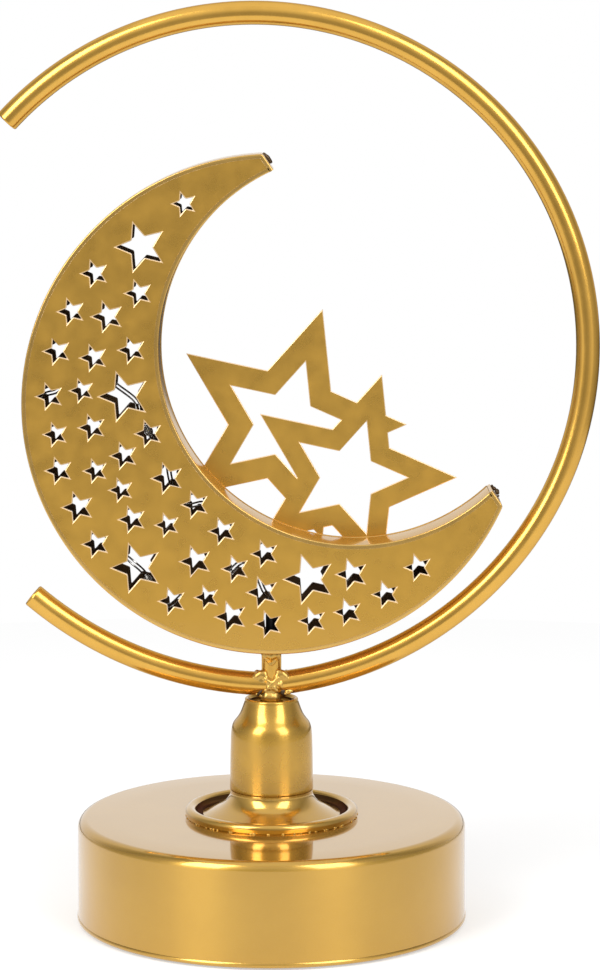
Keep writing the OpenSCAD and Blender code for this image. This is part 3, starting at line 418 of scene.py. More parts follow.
# The can's lower edge is rolled inwards into a hem, from the wall nearly all the way round
HEM, HEM_R = (BASE_R - 0.55, 1.3), 0.8
corner = (BASE_R - CAN_ROUND, BASE_TOP - CAN_ROUND)
base_outline = (
    [(STUD_HOLE_R, BASE_TOP), (20.0, BASE_TOP), (40.0, BASE_TOP)] + arc(corner, CAN_ROUND, 90, 0, 14)
    + [(BASE_R, 14.0), (BASE_R, 3.0)] + arc(HEM, HEM_R, 46.6, -251.8, 30)
    + [(BASE_R - SHEET, 12.0)] + arc(corner, CAN_ROUND - SHEET, 0, 90, 8)
    + [(30.0, BASE_TOP - SHEET), (STUD_HOLE_R, BASE_TOP - SHEET)]
)
base_drum = spun("base_drum", base_outline)
dress(base_drum, base_gold, slot="gold_base")
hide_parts("base_can")

# %% [markdown]
# ## Foot and bell
#
# The foot is a dish: a web under the bell, a trumpet flare down to a deep trough and a rolled rim that
# stands on the can. From the front the near rim hides the trough, and only its far side shows, painted
# nearly black as painted shade. The bell over it tapers a little, turns in over a soft shoulder, runs up
# in a slightly hollow cone and ends in a small rolled lip. The shoulder is a run of points set along the
# photograph's outline, because a cone with a plain radius looks stiff there.

# %% Foot flange and bell
NECK_R = 11.1
# The dish's upper side as (radius, height over the can), from the seam down the flare to the trough
FLARE = [
    (10.80, 7.0), (10.78, 6.4), (10.84, 5.9), (11.00, 5.4), (11.28, 4.9), (11.65, 4.35), (12.10, 3.8),
    (12.70, 3.25), (13.40, 2.75), (14.30, 2.25), (15.30, 1.75), (16.30, 1.25), (17.20, 0.82),
    (18.00, 0.52), (18.80, 0.44), (19.40, 0.62), (19.70, 1.0)
]
RIM_MIDDLE = (21.3, 1.3)
RIM_WIDE, RIM_HIGH = 1.45, 1.25
rim = [(RIM_MIDDLE[0] + RIM_WIDE * math.cos(a), RIM_MIDDLE[1] + RIM_HIGH * math.sin(a))
       for a in np.radians(np.linspace(165, -20, 24))]
rim += [(22.62, 0.5), (22.52, 0.16), (22.4, 0.03), (20.9, 0.03)]
below = [(r - 0.25, max(h - SHEET, 0.12)) for r, h in reversed(FLARE[5:])]
foot_outline = (
    [(STUD_HOLE_R, SEAM_Z - SHEET), (STUD_HOLE_R, SEAM_Z), (9.0, SEAM_Z), (10.3, SEAM_Z + 0.25)]
    + [(r, BASE_TOP + h) for r, h in FLARE + rim + below]
    + [(NECK_R - 1.1, BASE_TOP + 5.4), (NECK_R - 1.1, SEAM_Z - SHEET)]
)


def shade_band(piece, out_from, out_to, z_from, z_to=math.inf):
    """Gives a round piece's faces between two radii and two heights its second finish, the painted shade.
    """
    for face in piece.data.polygons:
        middle = face.center * 1000
        out = math.hypot(middle.x + STRUT_LEFT, middle.y)
        face.material_index = int(out_from < out < out_to and z_from < middle.z < z_to)


foot = spun("spun_foot", foot_outline)
dress(foot, foot_gold, trough_shade, slot="gold_spun")
# The trough's faces get the painted shade
TROUGH_FROM, TROUGH_TO = 17.6, 19.95
TROUGH_FLOOR, TROUGH_TOP = BASE_TOP + 0.3, BASE_TOP + 2.1
shade_band(foot, TROUGH_FROM, TROUGH_TO, TROUGH_FLOOR, TROUGH_TOP)
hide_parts("foot_flange")

# Points of the outer skin as (radius, height over the seam)
BELL_SKIN = [
    (10.72, 0.05), (10.9, 0.2), (10.98, 0.5), (10.96, 1.1), (10.9, 5.1), (10.82, 10.0), (10.7, 14.4),
    (10.56, 15.9), (10.42, 16.8), (10.17, 17.5), (9.82, 18.1), (9.38, 18.65), (8.95, 19.2), (8.52, 19.85),
    (8.13, 20.6), (7.78, 21.5), (7.44, 22.45), (7.12, 23.4)
]
# The lip is rolled, and the mouth inside it is a shallow well that closes on the strut
MOUTH = [(5.72, 23.72), (5.66, 23.3), (4.6, 23.22), (3.2, 23.3), (3.2, 22.6), (5.6, 22.6)]
# The wall of the mouth gets the painted shade
MOUTH_FROM, MOUTH_TO, MOUTH_FLOOR = 5.5, 5.85, SEAM_Z + 23
LIP_R, LIP_ROLL, LIP_TOP = 6.5, 0.5, LIP_Z + 0.35
bell_outer = [(r, SEAM_Z + h) for r, h in BELL_SKIN]
mouth = [(r, SEAM_Z + h) for r, h in MOUTH]
bell_outline = (
    bell_outer + arc((LIP_R, LIP_TOP - LIP_ROLL), LIP_ROLL, -10, 170, 12) + mouth
    + [(r - SHEET, z - 0.3) for r, z in reversed(bell_outer[8:-3])]
    + [(10.0, SEAM_Z + 13.0), (10.2, SEAM_Z + 5.0), (NECK_R - 0.9, SEAM_Z + 0.3)]
)
bell = spun("spun_bell", bell_outline)
dress(bell, bell_gold, trough_shade, slot="gold_spun")
shade_band(bell, MOUTH_FROM, MOUTH_TO, MOUTH_FLOOR)
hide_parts("stem_bell")

# %% Lacquer run in under the rim
random.seed(3)
drips = bmesh.new()
DRIPS = 64
for number in range(DRIPS):
    turn = random.uniform(0, 2 * math.pi)
    out = RIM_MIDDLE[0] + random.uniform(1.12, 1.3)
    wide, high = random.uniform(0.15, 0.6), random.uniform(0.1, 0.3)
    made = bmesh.ops.create_icosphere(drips, subdivisions=2, radius=1.0)
    for v in made["verts"]:
        along, off, lift = v.co.x * wide, v.co.y * 0.2, v.co.z * high
        v.co = spot((out + off) * math.cos(turn) - along * math.sin(turn),
                    (out + off) * math.sin(turn) + along * math.cos(turn), BASE_TOP + 0.12 + lift)
rim_drips = piece_of("rim_drips", drips)
dress(rim_drips, weld_gold, slot="gold_weld")
print("drips under the rim:", DRIPS)

# %% [markdown]
# ## Bent tube
#
# The open ring is one length of tube bent round a former, and a shorter one that meets it at the strut.
# Both have a wall, and at their free ends one looks into the bore. A ring of points is carried along the
# bend, once for the outer skin and once for the bore, and the two are joined at the ends with a small
# round, as a deburred saw cut has.

# %% Tubes along a path
TUBE_SIDES = 48


def headings(path):
    """The way that a path runs at each of its points."""
    last = len(path) - 1
    return [(path[min(i + 1, last)] - path[max(i - 1, 0)]).normalized() for i in range(last + 1)]


def across(head):
    """The two ways square to a heading, the first of them in the upright plane of the ring."""
    side = head.cross(Vector((0, 1, 0))).normalized()
    return side, side.cross(head).normalized()


def hoop(place, head, radius, sides):
    """A circle of points round a place of a path."""
    side, rise = across(head)
    turns = [2 * math.pi * k / sides for k in range(sides)]
    return [place + radius * (math.cos(a) * side + math.sin(a) * rise) for a in turns]


def band(here, there, count):
    """Faces between two closed rows of points, each given by the number of its first point."""
    return [(here + k, here + (k + 1) % count, there + (k + 1) % count, there + k) for k in range(count)]


def tube_along(name, path, outer_r):
    """A walled tube along a path of points in millimetres, open at both ends."""
    path = [Vector(p) for p in path]
    heads = headings(path)
    bore_r = outer_r - SHEET
    wall, middle = outer_r - bore_r, (outer_r + bore_r) / 2
    lip = [(math.sin(a) * wall / 2, math.cos(a) * wall / 2) for a in np.linspace(0, math.pi, 7)]
    # Stations: place, heading, radius. The ends get a rounded lip.
    stations = [(p, head, outer_r) for p, head in zip(path, heads)]
    stations += [(path[-1] + heads[-1] * out, heads[-1], middle + off) for out, off in lip]
    stations += [(p, head, bore_r) for p, head in zip(path[::-1], heads[::-1])]
    stations += [(path[0] - heads[0] * out, heads[0], middle - off) for out, off in lip]
    points, faces = [], []
    for number, (place, head, radius) in enumerate(stations):
        points += hoop(place, head, radius, TUBE_SIDES)
        there = (number + 1) % len(stations) * TUBE_SIDES
        faces += band(number * TUBE_SIDES, there, TUBE_SIDES)
    return piece_from(name, points, faces)


def bend(middle, radius, start, end, step=1.5):
    """Points of a bend in the upright plane, one for every few degrees."""
    steps = max(2, round(abs(end - start) / step))
    return [(x, 0.0, z) for x, z in arc(middle, radius, start, end, steps)]


# %% Ring and strut
# The long arc keeps one radius from its cut end, and eases into a larger one at the lower right
RING_R, EASE_R, SHORT_R = 87.0, 92.0, 97.3
EASE_WAY = np.array((0.8, -0.6))
EASE_ANGLE = -math.degrees(math.atan2(0.6, 0.8))
SHORT_RIGHT = 1.04
# The degrees at which the free ends are cut, and how far past the strut's axis the other ends meet
LONG_CUT, SHORT_CUT = 137.4, -130.8
MEET = 1.3
# The rounded lip stands half a wall beyond a tube's last point
LIP_OUT = 0.4
ring_at = np.array((-4.5, 150.91))
ease_at = ring_at - (EASE_R - RING_R) * EASE_WAY
short_at = (SHORT_RIGHT, RING_Z + math.sqrt(SHORT_R ** 2 - SHORT_RIGHT ** 2))
ease_end = -math.degrees(math.acos((MEET - ease_at[0]) / EASE_R))
short_end = -180 + math.degrees(math.acos((short_at[0] + MEET) / SHORT_R))
long_path = (bend(ring_at, RING_R, LONG_CUT - math.degrees(LIP_OUT / RING_R), EASE_ANGLE)
             + bend(ease_at, EASE_R, EASE_ANGLE, ease_end)[1:])
short_path = bend(short_at, SHORT_R, SHORT_CUT + math.degrees(LIP_OUT / SHORT_R), short_end)
strut_path = [(0, 0, z) for z in np.linspace(SEAM_Z + 3.4, MOON_FOOT - LIP_OUT, 12)]
for name, path, outer_r, stood_for in (("ring_long", long_path, TUBE_R, "ring_long_arc"),
                                       ("ring_short", short_path, TUBE_R, "ring_short_arc"),
                                       ("strut", strut_path, STRUT_R, "strut_tube")):
    tube = tube_along(name, path, outer_r)
    dress(tube, tube_gold, slot="gold_tube")
    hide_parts(stood_for)

# %% [markdown]
# ## Crescent strips
#
# The crescent is a shallow box. Its outer strip follows the big circle and folds over both blunt horns,
# and a second strip lines the bay. Each is a ribbon of sheet as deep as the box. The ribbon's section,
# with its slightly rounded edges, is carried along the strip's line, and the faces that look into the
# box are painted nearly black as painted shade.

# %% Ribbons of sheet
MOON_R = 65.2
MOON_RIGHT = 0.5
MOON = (MOON_RIGHT, MOON_FOOT + math.sqrt(MOON_R ** 2 - MOON_RIGHT ** 2))
BAY_R = 51.0
BAY_AWAY = 25.9
TILT = math.radians(34.3)
HORN_CUT = 34.5
BOX_HALF = 6.5
# The strip's front edge is rounded, and laps over the plate by this much and stands this far proud of it
EDGE_R, LAP, PROUD = 0.34, 1.08, 0.03


def moon_spot(u, v):
    """A place in the crescent's own directions: u towards the bay's middle, v across it."""
    right, up = math.cos(TILT), math.sin(TILT)
    return (MOON[0] + u * right - v * up, MOON[1] + u * up + v * right)


def ribbon(name, line, inward, bead=0.0):
    """A strip of sheet along a line of (x, z) points. Inward is +1 or -1 for its thickness side.

    A bead makes the rear edge thicker, as filler does where the star sheet meets the strip."""
    # Half a section, from the middle of the inner side, which gets the painted shade, round the front edge:
    # the front edge is wide and laps a little over the plate, as the filler does that closes the seam
    front = [(SHEET, -BOX_HALF - 0.01), (LAP, -BOX_HALF - 0.01), (LAP, -BOX_HALF - PROUD)]
    front += [(x, -BOX_HALF - PROUD + EDGE_R - z) for x, z in arc((EDGE_R, 0), EDGE_R, 90, 180, 4)]
    section = front + [(off, -deep) for off, deep in reversed(front)]
    if bead:
        swell = [(-bead * math.sin(a), BOX_HALF - 0.9 + 0.7 * a / math.pi)
                 for a in np.linspace(0.3, 2.8, 7)]
        section = front + swell + [(off, -deep) for off, deep in reversed(front[:4])]
    line = [np.array(p, float) for p in line]
    points, faces = [], []
    for i, p in enumerate(line):
        ahead = line[min(i + 1, len(line) - 1)] - line[max(i - 1, 0)]
        ahead /= np.linalg.norm(ahead)
        inwards = np.array((-ahead[1], ahead[0])) * inward
        for off, deep in section:
            x, z = p + off * inwards
            points.append((x, deep, z))
    count = len(section)
    last = (len(line) - 1) * count
    for here in range(0, last, count):
        faces += band(here, here + count, count)
    faces += [tuple(range(count)), tuple(range(last, last + count))]
    # Faces on the inner side of the sheet get the painted shade of the box's inside
    shade_side = [int(off == SHEET) for off, _ in section]
    dark = [shade_side[k] * shade_side[(k + 1) % count] for k in range(count)]
    piece = piece_from(name, points, faces)
    dress(piece, strip_gold, box_shade, slot="gold_rim")
    piece.data.polygons.foreach_set("material_index", dark * (len(line) - 1) + [0, 0])
    return piece


FOLD_R = 1.1
horn_in = math.sqrt(BAY_R ** 2 - (HORN_CUT - BAY_AWAY) ** 2)


def folded_corner(upper):
    """The horn's end: down the blunt end, round the fold and on to the big circle."""
    sign = 1 if upper else -1
    fold_u = HORN_CUT - FOLD_R
    fold_v = math.sqrt((MOON_R - FOLD_R) ** 2 - fold_u ** 2)
    first = math.degrees(math.atan2(fold_v, fold_u))
    corner = [(u, sign * v) for u, v in arc((fold_u, fold_v), FOLD_R, 0, first, 6)]
    down = [(HORN_CUT, sign * v) for v in (horn_in + 0.1, (horn_in + fold_v) / 2)]
    return [moon_spot(u, v) for u, v in down + corner], first


upper_end, join = folded_corner(True)
lower_end, _ = folded_corner(False)
around = [moon_spot(u, v) for u, v in arc((0, 0), MOON_R, join + 1, 359 - join, 149)]
outer_strip = ribbon("outer_strip", upper_end + around + lower_end[::-1], 1)
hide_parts("crescent_outer_rim")
bay_reach = math.degrees(math.acos((HORN_CUT - 0.9 - BAY_AWAY) / BAY_R))
bay_line = [moon_spot(u, v) for u, v in arc((BAY_AWAY, 0), BAY_R, bay_reach, 360 - bay_reach, 119)]
bay_strip = ribbon("bay_strip", bay_line, -1, bead=0.28)
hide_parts("crescent_inner_rim")

# %% [markdown]
# ## Pierced plates and the star sheet
#
# The plates come from the frame with every star hole in place. Modifiers do for them what the tool and
# the spray do: merged and cleaned faces, then a tiny rounded edge all round each cut, which is what
# makes a cut edge glint. Nothing in the mesh itself changes.

# %% Soft edges on the frame's sheet pieces
def modify(piece, name, kind, **settings):
    """Adds a modifier with its settings."""
    made = piece.modifiers.new(name, kind)
    for key, value in settings.items():
        setattr(made, key, value)


def soften(piece, width_mm, limit=40):
    """Cleans a frame piece's facets and rounds its sharp edges, with modifiers only."""
    modify(piece, "join_points", "WELD", merge_threshold=2e-6)
    modify(piece, "flat_faces", "DECIMATE", decimate_type="DISSOLVE", angle_limit=math.radians(0.5))
    modify(piece, "round_edges", "BEVEL", width=width_mm / 1000, segments=2, use_clamp_overlap=False,
           limit_method="ANGLE", angle_limit=math.radians(limit))
    modify(piece, "even_shading", "WEIGHTED_NORMAL", keep_sharp=True, weight=80)


def finish_node(name, finish):
    """Puts a better material in the slots of a piece that came with the frame."""
    for place in node[name].material_slots:
        place.material = finish


for name in ("crescent_front_plate", "crescent_back_plate"):
    finish_node(name, plate_gold)
    soften(node[name], 0.28)
finish_node("star_sheet", star_gold)
soften(node["star_sheet"], 0.2)
finish_node("sheet_welds", weld_gold)

# %% [markdown]
# ## Welds
#
# The tubes are joined by hand, with filler run in from all sides, so the crossing has webs of it that
# slope from the strut to the ring, crossed runs in the middle, a thick mass down to the bell's mouth and
# crumbs beside it. Many small lumps are melted together by a voxel remesh, which gives the same soft
# creases as metal that has run together. The crescent's horns were tacked the same way. Their beads, and
# lumps in the crevices beside the mass, are painted nearly black as painted shade.

# %% Lumps that run together
MELT_MM = 0.22


def lumps(name, spots):
    """Melts balls, each (x, y, z, radius, stretch along x, y, z), into one soft bead."""
    ball = bmesh.new()
    for x, y, z, radius, sx, sy, sz in spots:
        made = bmesh.ops.create_icosphere(ball, subdivisions=3, radius=1.0)
        for v in made["verts"]:
            v.co = spot(x + v.co.x * radius * sx, y + v.co.y * radius * sy, z + v.co.z * radius * sz)
    piece = piece_of(name, ball)
    modify(piece, "melt", "REMESH", mode="VOXEL", voxel_size=MELT_MM / 1000, use_smooth_shade=True)
    modify(piece, "calm", "SMOOTH", iterations=9, factor=0.6)
    print(name, "is melted from", len(spots), "lumps")
    return piece


# How far a lump strays from its run, and how it is stretched along x, y and z
STRAY = 0.07
SQUASH = (1.0, 0.8, 1.0)


def run(height, start, end, radii):
    """Lumps on the way from one place to another, both over a height, with a radius for each."""
    start, end = np.array(start) + (0, 0, height), np.array(end) + (0, 0, height)
    way = [(1 - t) * start + t * end for t in np.linspace(0, 1, len(radii))]
    return [(*(p + np.array([random.uniform(-STRAY, STRAY) for _ in range(3)])), r, *SQUASH)
            for p, r in zip(way, radii)]


# Each run is its start, its end and its radii, with the heights from the ring's axis
FRONT_RUNS = [
    # From the middle of the crossing a broad web of filler rises each way to the strut's edge and slopes
    # down on to the ring. Between the two webs the strut shows as a V
    ((-0.3, -2.2, 0.3), (-1.9, -2.1, 2.7), (1.35, 1.2, 1.15, 1.1)),
    ((-1.9, -2.0, 3.1), (-4.3, -1.9, 1.7), (1.15, 1.35, 1.35, 1.1)),
    ((-1.6, -1.9, 1.2), (-3.9, -1.7, 0.7), (1.45, 1.5, 1.4)),
    ((0.5, -2.2, 0.3), (2.0, -2.1, 2.9), (1.35, 1.25, 1.2, 1.1)),
    ((2.0, -2.0, 3.3), (5.0, -1.9, 1.1), (1.1, 1.35, 1.35, 1.2, 0.95)),
    ((1.8, -1.9, 1.2), (4.2, -1.7, 0.3), (1.45, 1.5, 1.3)),
    # Two runs cross in the middle, with a small knot at the right
    ((-1.4, -3.0, 1.7), (1.5, -3.15, -1.2), (0.5, 0.6, 0.7, 0.65, 0.5)),
    ((1.5, -3.0, 1.9), (-1.6, -3.1, -1.3), (0.5, 0.6, 0.7, 0.65, 0.5)),
    ((2.3, -2.9, 0.4), (2.6, -2.8, -0.3), (0.75, 0.65)),
    # The mass under it spreads down into the bell's mouth, with crumbs of filler at both sides
    ((-0.2, -2.0, -0.8), (-1.5, -1.9, -3.3), (1.5, 1.5, 1.45, 1.3)),
    ((0.2, -2.0, -0.8), (1.1, -1.9, -3.4), (1.5, 1.5, 1.45, 1.3)),
    ((-0.9, -2.6, -2.9), (0.6, -2.6, -3.1), (1.3, 1.4, 1.3)),
    ((3.6, -3.1, -2.0), (3.7, -3.1, -2.2), (0.4, 0.4)),
    ((4.0, -2.3, -1.8), (5.2, -2.1, -1.3), (0.8, 0.85, 0.6)),
    ((-3.3, -2.0, -2.6), (-3.8, -1.9, -2.4), (0.6, 0.5)),
]
random.seed(7)
cross = []
for front_run in FRONT_RUNS:
    cross += run(RING_Z, *front_run)
# The rear, and filler in the corners over and under the ring at both faces
for side in (-1, 1):
    cross += run(RING_Z, (side * 0.3, 3.0, 0.2), (side * 3.9, 2.3, 2.6), (0.8, 1.0, 1.15, 1.2, 1.1, 0.8))
    cross += run(RING_Z, (side * 0.3, 3.0, -0.2), (side * 3.5, 2.3, -2.7), (0.8, 1.0, 1.15, 1.2, 1.1, 0.9))
    for high in (-1, 1):
        cross += run(RING_Z, (side * 2.5, 1.0, high * 2.9), (side * 3.5, 1.1, high * 2.6), (0.8, 0.65, 0.5))
cross += run(RING_Z, (-1.6, 2.2, -3.0), (1.6, 2.2, -3.3), (1.1, 1.25, 1.1))
ring_bead = lumps("ring_bead", cross)
dress(ring_bead, weld_gold, slot="gold_weld")
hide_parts("ring_welds")

# A collar of filler round the strut's head
HEAD_LUMPS = 14
head = []
for k in range(HEAD_LUMPS):
    a = 2 * math.pi * k / HEAD_LUMPS
    head.append((STRUT_R * math.cos(a), STRUT_R * math.sin(a), MOON_FOOT - 0.35 + random.uniform(-0.1, 0.1),
                 0.75 + random.uniform(-0.1, 0.1), 1.1, 1.1, 0.9))
# A thick drop under the plate's edge, and a run of filler in the form of a V round it
head += run(MOON_FOOT, (-0.9, -2.8, -0.9), (0.9, -2.8, -0.9), (0.8, 1.0, 0.8))
head += run(MOON_FOOT, (0, -2.9, -1.2), (0, -2.75, -2.1), (0.9, 0.6))
for side in (-1, 1):
    head += run(MOON_FOOT, (side * 1.9, -2.1, -1.0), (side * 0.1, -2.6, -3.5), (0.75, 0.7, 0.65, 0.55, 0.4))
head_bead = lumps("head_bead", head)
dress(head_bead, weld_gold, slot="gold_weld")
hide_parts("crescent_welds")

# Painted shade: nearly black lumps in the crevices on both sides of the mass
crevices = lumps("weld_crevices",
                 run(RING_Z, (3.0, -2.3, -1.6), (3.4, -2.3, -2.3), (0.85, 0.9, 0.7))
                 + run(RING_Z, (-2.5, -2.75, -1.2), (-3.5, -2.35, -2.5), (0.4, 0.5, 0.5, 0.45)))
dress(crevices, weld_shade, slot="gold_weld")

# %% Beads at the horns, nearly black as painted shade
upper_bead = lumps("upper_horn_bead",
                   run(0, (-1.95, 1.6, 201.4), (-0.1, 1.8, 199.2), (0.5, 0.75, 0.85, 0.75, 0.5)))
lower_bead = lumps("lower_horn_bead",
                   run(0, (57.9, 4.7, 114.0), (59.1, 3.2, 112.9), (0.5, 0.62, 0.68))
                   + run(0, (59.3, 2.7, 112.5), (59.4, 1.4, 111.9), (0.6, 0.45)))
for bead in (upper_bead, lower_bead):
    dress(bead, weld_shade, slot="gold_weld")

# %% [markdown]
# ## The light string
#
# Two bare wires run side by side through the crescent and carry small resin drops with a light chip in
# each. The string lies in loose bends. Its route is the same table of angles and shares that places it in
# the frame, smoothed with a curve that passes through every point, because real wire has no corners.

# %% Route of the string
STRING_SHARES = [
    (267, 0.53, -0.08), (264, 0.40, -0.08), (260.5, 0.36, 0), (257.5, 0.41, 0.08), (253, 0.59, 0.08),
    (248.5, 0.62, 0.15), (245.5, 0.70, 0.08), (244.5, 0.78, 0), (243, 0.86, -0.08), (240.5, 0.89, 0),
    (237, 0.83, 0.08), (233, 0.77, 0), (228, 0.76, -0.08), (222.5, 0.77, 0), (217, 0.69, 0.08),
    (211.5, 0.64, 0.15), (205, 0.57, 0.08), (196.5, 0.49, 0), (188.5, 0.45, -0.08),
    (182.5, 0.51, -0.08), (182, 0.69, 0), (183, 0.84, 0.08), (181, 0.89, 0.08), (178, 0.85, 0),
    (176.5, 0.76, -0.08), (172.5, 0.68, 0), (163, 0.69, 0.08), (157.5, 0.65, 0.15),
    (152, 0.69, 0.08), (148.5, 0.65, 0), (144.5, 0.54, 0), (138, 0.62, -0.08), (134, 0.75, -0.08),
    (126.5, 0.79, 0), (119, 0.70, 0.08), (112.5, 0.71, 0.08), (105.5, 0.68, 0), (102.5, 0.60, -0.08),
    (101, 0.40, -0.08), (102.5, 0.27, -0.08), (109, 0.25, 0), (119, 0.31, 0.08), (125, 0.20, 0.08),
    (135, 0.15, 0), (146, 0.11, -0.08), (158.5, 0.11, -0.08), (165.5, 0.19, 0), (169, 0.35, 0.08),
    (171, 0.39, 0.08), (173.5, 0.35, 0.08), (179, 0.22, 0), (185.5, 0.21, -0.08),
    (199.5, 0.17, -0.08), (208, 0.16, 0), (216.5, 0.21, 0.08), (224.5, 0.26, 0), (230.5, 0.23, -0.08),
    (235.5, 0.15, -0.08), (243.5, 0.14, 0), (256.5, 0.14, 0.08), (265, 0.16, 0.08), (275, 0.20, 0),
    (281, 0.17, -0.08), (289.5, 0.17, -0.08), (291, 0.24, -0.08), (289.5, 0.44, 0),
    (286, 0.64, 0.08), (285.5, 0.77, 0.08), (287.5, 0.84, 0), (291.5, 0.85, -0.08),
    (296.5, 0.64, -0.08), (302, 0.40, 0), (309, 0.31, 0.08), (318, 0.48, 0.08), (325, 0.46, 0),
    (331, 0.52, -0.08)
]
DROP_STRETCHES = [5, 12, 15, 18, 20, 22, 28, 32, 34, 36, 42, 44, 46, 53, 60, 64, 67, 71, 73, 75]


def string_spot(angle, share, back):
    """A place of the string from its angle round the crescent and its share of the way outwards."""
    off = math.radians(angle) - TILT
    near = BAY_AWAY * math.cos(off) + math.sqrt(BAY_R ** 2 - (BAY_AWAY * math.sin(off)) ** 2)
    far = near + share * (MOON_R - near)
    a = math.radians(angle)
    return Vector((MOON[0] + far * math.cos(a), back * 2 * BOX_HALF, MOON[1] + far * math.sin(a)))


JOINT_Z = MOON_FOOT + 5.8
EASE_STEPS = 6
string_line = [Vector((0, 0, JOINT_Z + 1)), Vector((0, 0, JOINT_Z + 7))]
string_line += [string_spot(*s) for s in STRING_SHARES]
print("string points:", len(string_line))


def eased(points):
    """A smooth line through every point."""
    line = []
    for i in range(len(points) - 1):
        a, b = points[max(i - 1, 0)], points[i]
        c, d = points[i + 1], points[min(i + 2, len(points) - 1)]
        for k in range(EASE_STEPS):
            t = k / EASE_STEPS
            line.append(0.5 * (2 * b + (c - a) * t + (2 * a - 5 * b + 4 * c - d) * t ** 2
                               + (3 * b - a - 3 * c + d) * t ** 3))
    return line + [points[-1]]


# %% Strands and drops
STRAND_R = 0.25
STRAND_APART = 0.9
STRAND_SIDES = 8


def add_strand(points, faces, line):
    """Adds one closed round wire along a line to a list of points and faces."""
    start = len(points)
    for p, head in zip(line, headings(line)):
        points += hoop(p, head, STRAND_R, STRAND_SIDES)
    last = len(points) - STRAND_SIDES
    for here in range(start, last, STRAND_SIDES):
        faces += band(here, here + STRAND_SIDES, STRAND_SIDES)
    faces.append(tuple(start + k for k in reversed(range(STRAND_SIDES))))
    faces.append(tuple(last + k for k in range(STRAND_SIDES)))


smooth_line = eased(string_line)
strand_points, strand_faces = [], []
for hand in (-1, 1):
    add_strand(strand_points, strand_faces, [p + across(head)[0] * hand * STRAND_APART / 2
                                             for p, head in zip(smooth_line, headings(smooth_line))])
strands = piece_from("string_strands", strand_points, strand_faces)

wire_silver, where, skin = new_finish("wire_silver")
tarnish = noise(wire_silver, where, 1.5, detail=3)
mottled(wire_silver, tarnish, skin, (0.72, 0.72, 0.71), (0.42, 0.40, 0.37))
set_inputs(skin, Metallic=1.0)
worn(wire_silver, tarnish, skin, 0.15, 0.35)
dress(strands, wire_silver, slot="silver_wire")
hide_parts("light_wires")

# %% [markdown]
# Each drop is a blob of clear resin, dipped and cured round a tiny chip, so it is longer than it is thick
# and never quite even. A rounded ball is stretched along the wires and its ends are drawn in a little
# towards them. The chip inside is a pale block with a yellow dot of phosphor.

# %% Resin drops with their chips
DROP_HALF, DROP_R = 1.85, 1.18
# The chip and the phosphor on it: half its width, how far it is lifted, and its finish
CHIPS = [(0.34, 0.0, 1), (0.2, 0.12, 2)]


def drop_shell():
    """All drops in one bmesh, each with its chip."""
    drops = bmesh.new()
    for number, i in enumerate(DROP_STRETCHES):
        along = (string_line[i + 1] - string_line[i]).normalized()
        side, rise = across(along)
        middle = smooth_line[i * EASE_STEPS + EASE_STEPS // 2]
        made = bmesh.ops.create_icosphere(drops, subdivisions=3, radius=1.0)
        for v in made["verts"]:
            x, y, z = v.co
            thin = DROP_R * (1 - 0.22 * x ** 4) * (1 + 0.05 * math.sin(5 * x + number))
            v.co = spot(*(middle + along * x * DROP_HALF + side * y * thin + rise * z * thin))
        for half, lifted, shade in CHIPS:
            chip = bmesh.ops.create_cube(drops, size=1.0)
            for v in chip["verts"]:
                v.co = spot(*(middle + along * v.co.x * half * 2.4 + side * v.co.y * half * 1.6
                              + rise * (v.co.z * 0.3 - lifted)))
            for f in {f for v in chip["verts"] for f in v.link_faces}:
                f.material_index = shade
    return drops


string_drops = piece_of("string_drops", drop_shell())
polygons = string_drops.data.polygons
polygons.foreach_set("use_smooth", [p.material_index == 0 for p in polygons])

resin, where, skin = new_finish("clear_resin")
set_inputs(skin, Base_Color=(0.95, 0.94, 0.88), Transmission_Weight=0.85, IOR=1.5)
worn(resin, noise(resin, where, 0.8, detail=2), skin, 0.04, 0.2)
chip_white, where, skin = new_finish("chip_white")
mottled(chip_white, noise(chip_white, where, 0.4), skin, (0.85, 0.84, 0.80), (0.70, 0.69, 0.64))
chip_dot, where, skin = new_finish("chip_dot")
mottled(chip_dot, noise(chip_dot, where, 0.2), skin, (0.85, 0.66, 0.10), (0.75, 0.50, 0.06))
dress(string_drops, resin, chip_white, chip_dot, slot="clear_resin")
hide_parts("light_drops")
print("drops:", len(DROP_STRETCHES))

# %% [markdown]
# ## Underside and inner pieces
#
# What the base hides gets real finishes too: a moulded cover and door with a fine spark-eroded grain,
# black rubber feet, plated screws and contacts, film-wrapped cells and insulated wires. Each finish is
# one small builder with the grain at its own scale.

# %% Plain finishes
def plastic(name, tint, other, rough, grain_mm, grain_um):
    """Moulded plastic or rubber with a fine grain and faint mottling."""
    mat, where, skin = new_finish(name)
    mottle = noise(mat, where, 9, detail=3)
    mottled(mat, mottle, skin, tint, other)
    worn(mat, mottle, skin, rough * 0.9, rough * 1.1)
    rippled(mat, noise(mat, where, grain_mm, detail=2), skin, grain_um)
    return mat


def plated(name, tint, other, rough, streak_mm):
    """Bare or plated steel, with patches and fine drawn streaks."""
    mat, where, skin = new_finish(name)
    mottled(mat, noise(mat, where, 4, detail=4), skin, tint, other)
    set_inputs(skin, Metallic=1.0)
    streaks = noise(mat, where, streak_mm, detail=3, rough=0.7)
    worn(mat, streaks, skin, rough * 0.75, rough * 1.3)
    rippled(mat, streaks, skin, 2)
    return mat


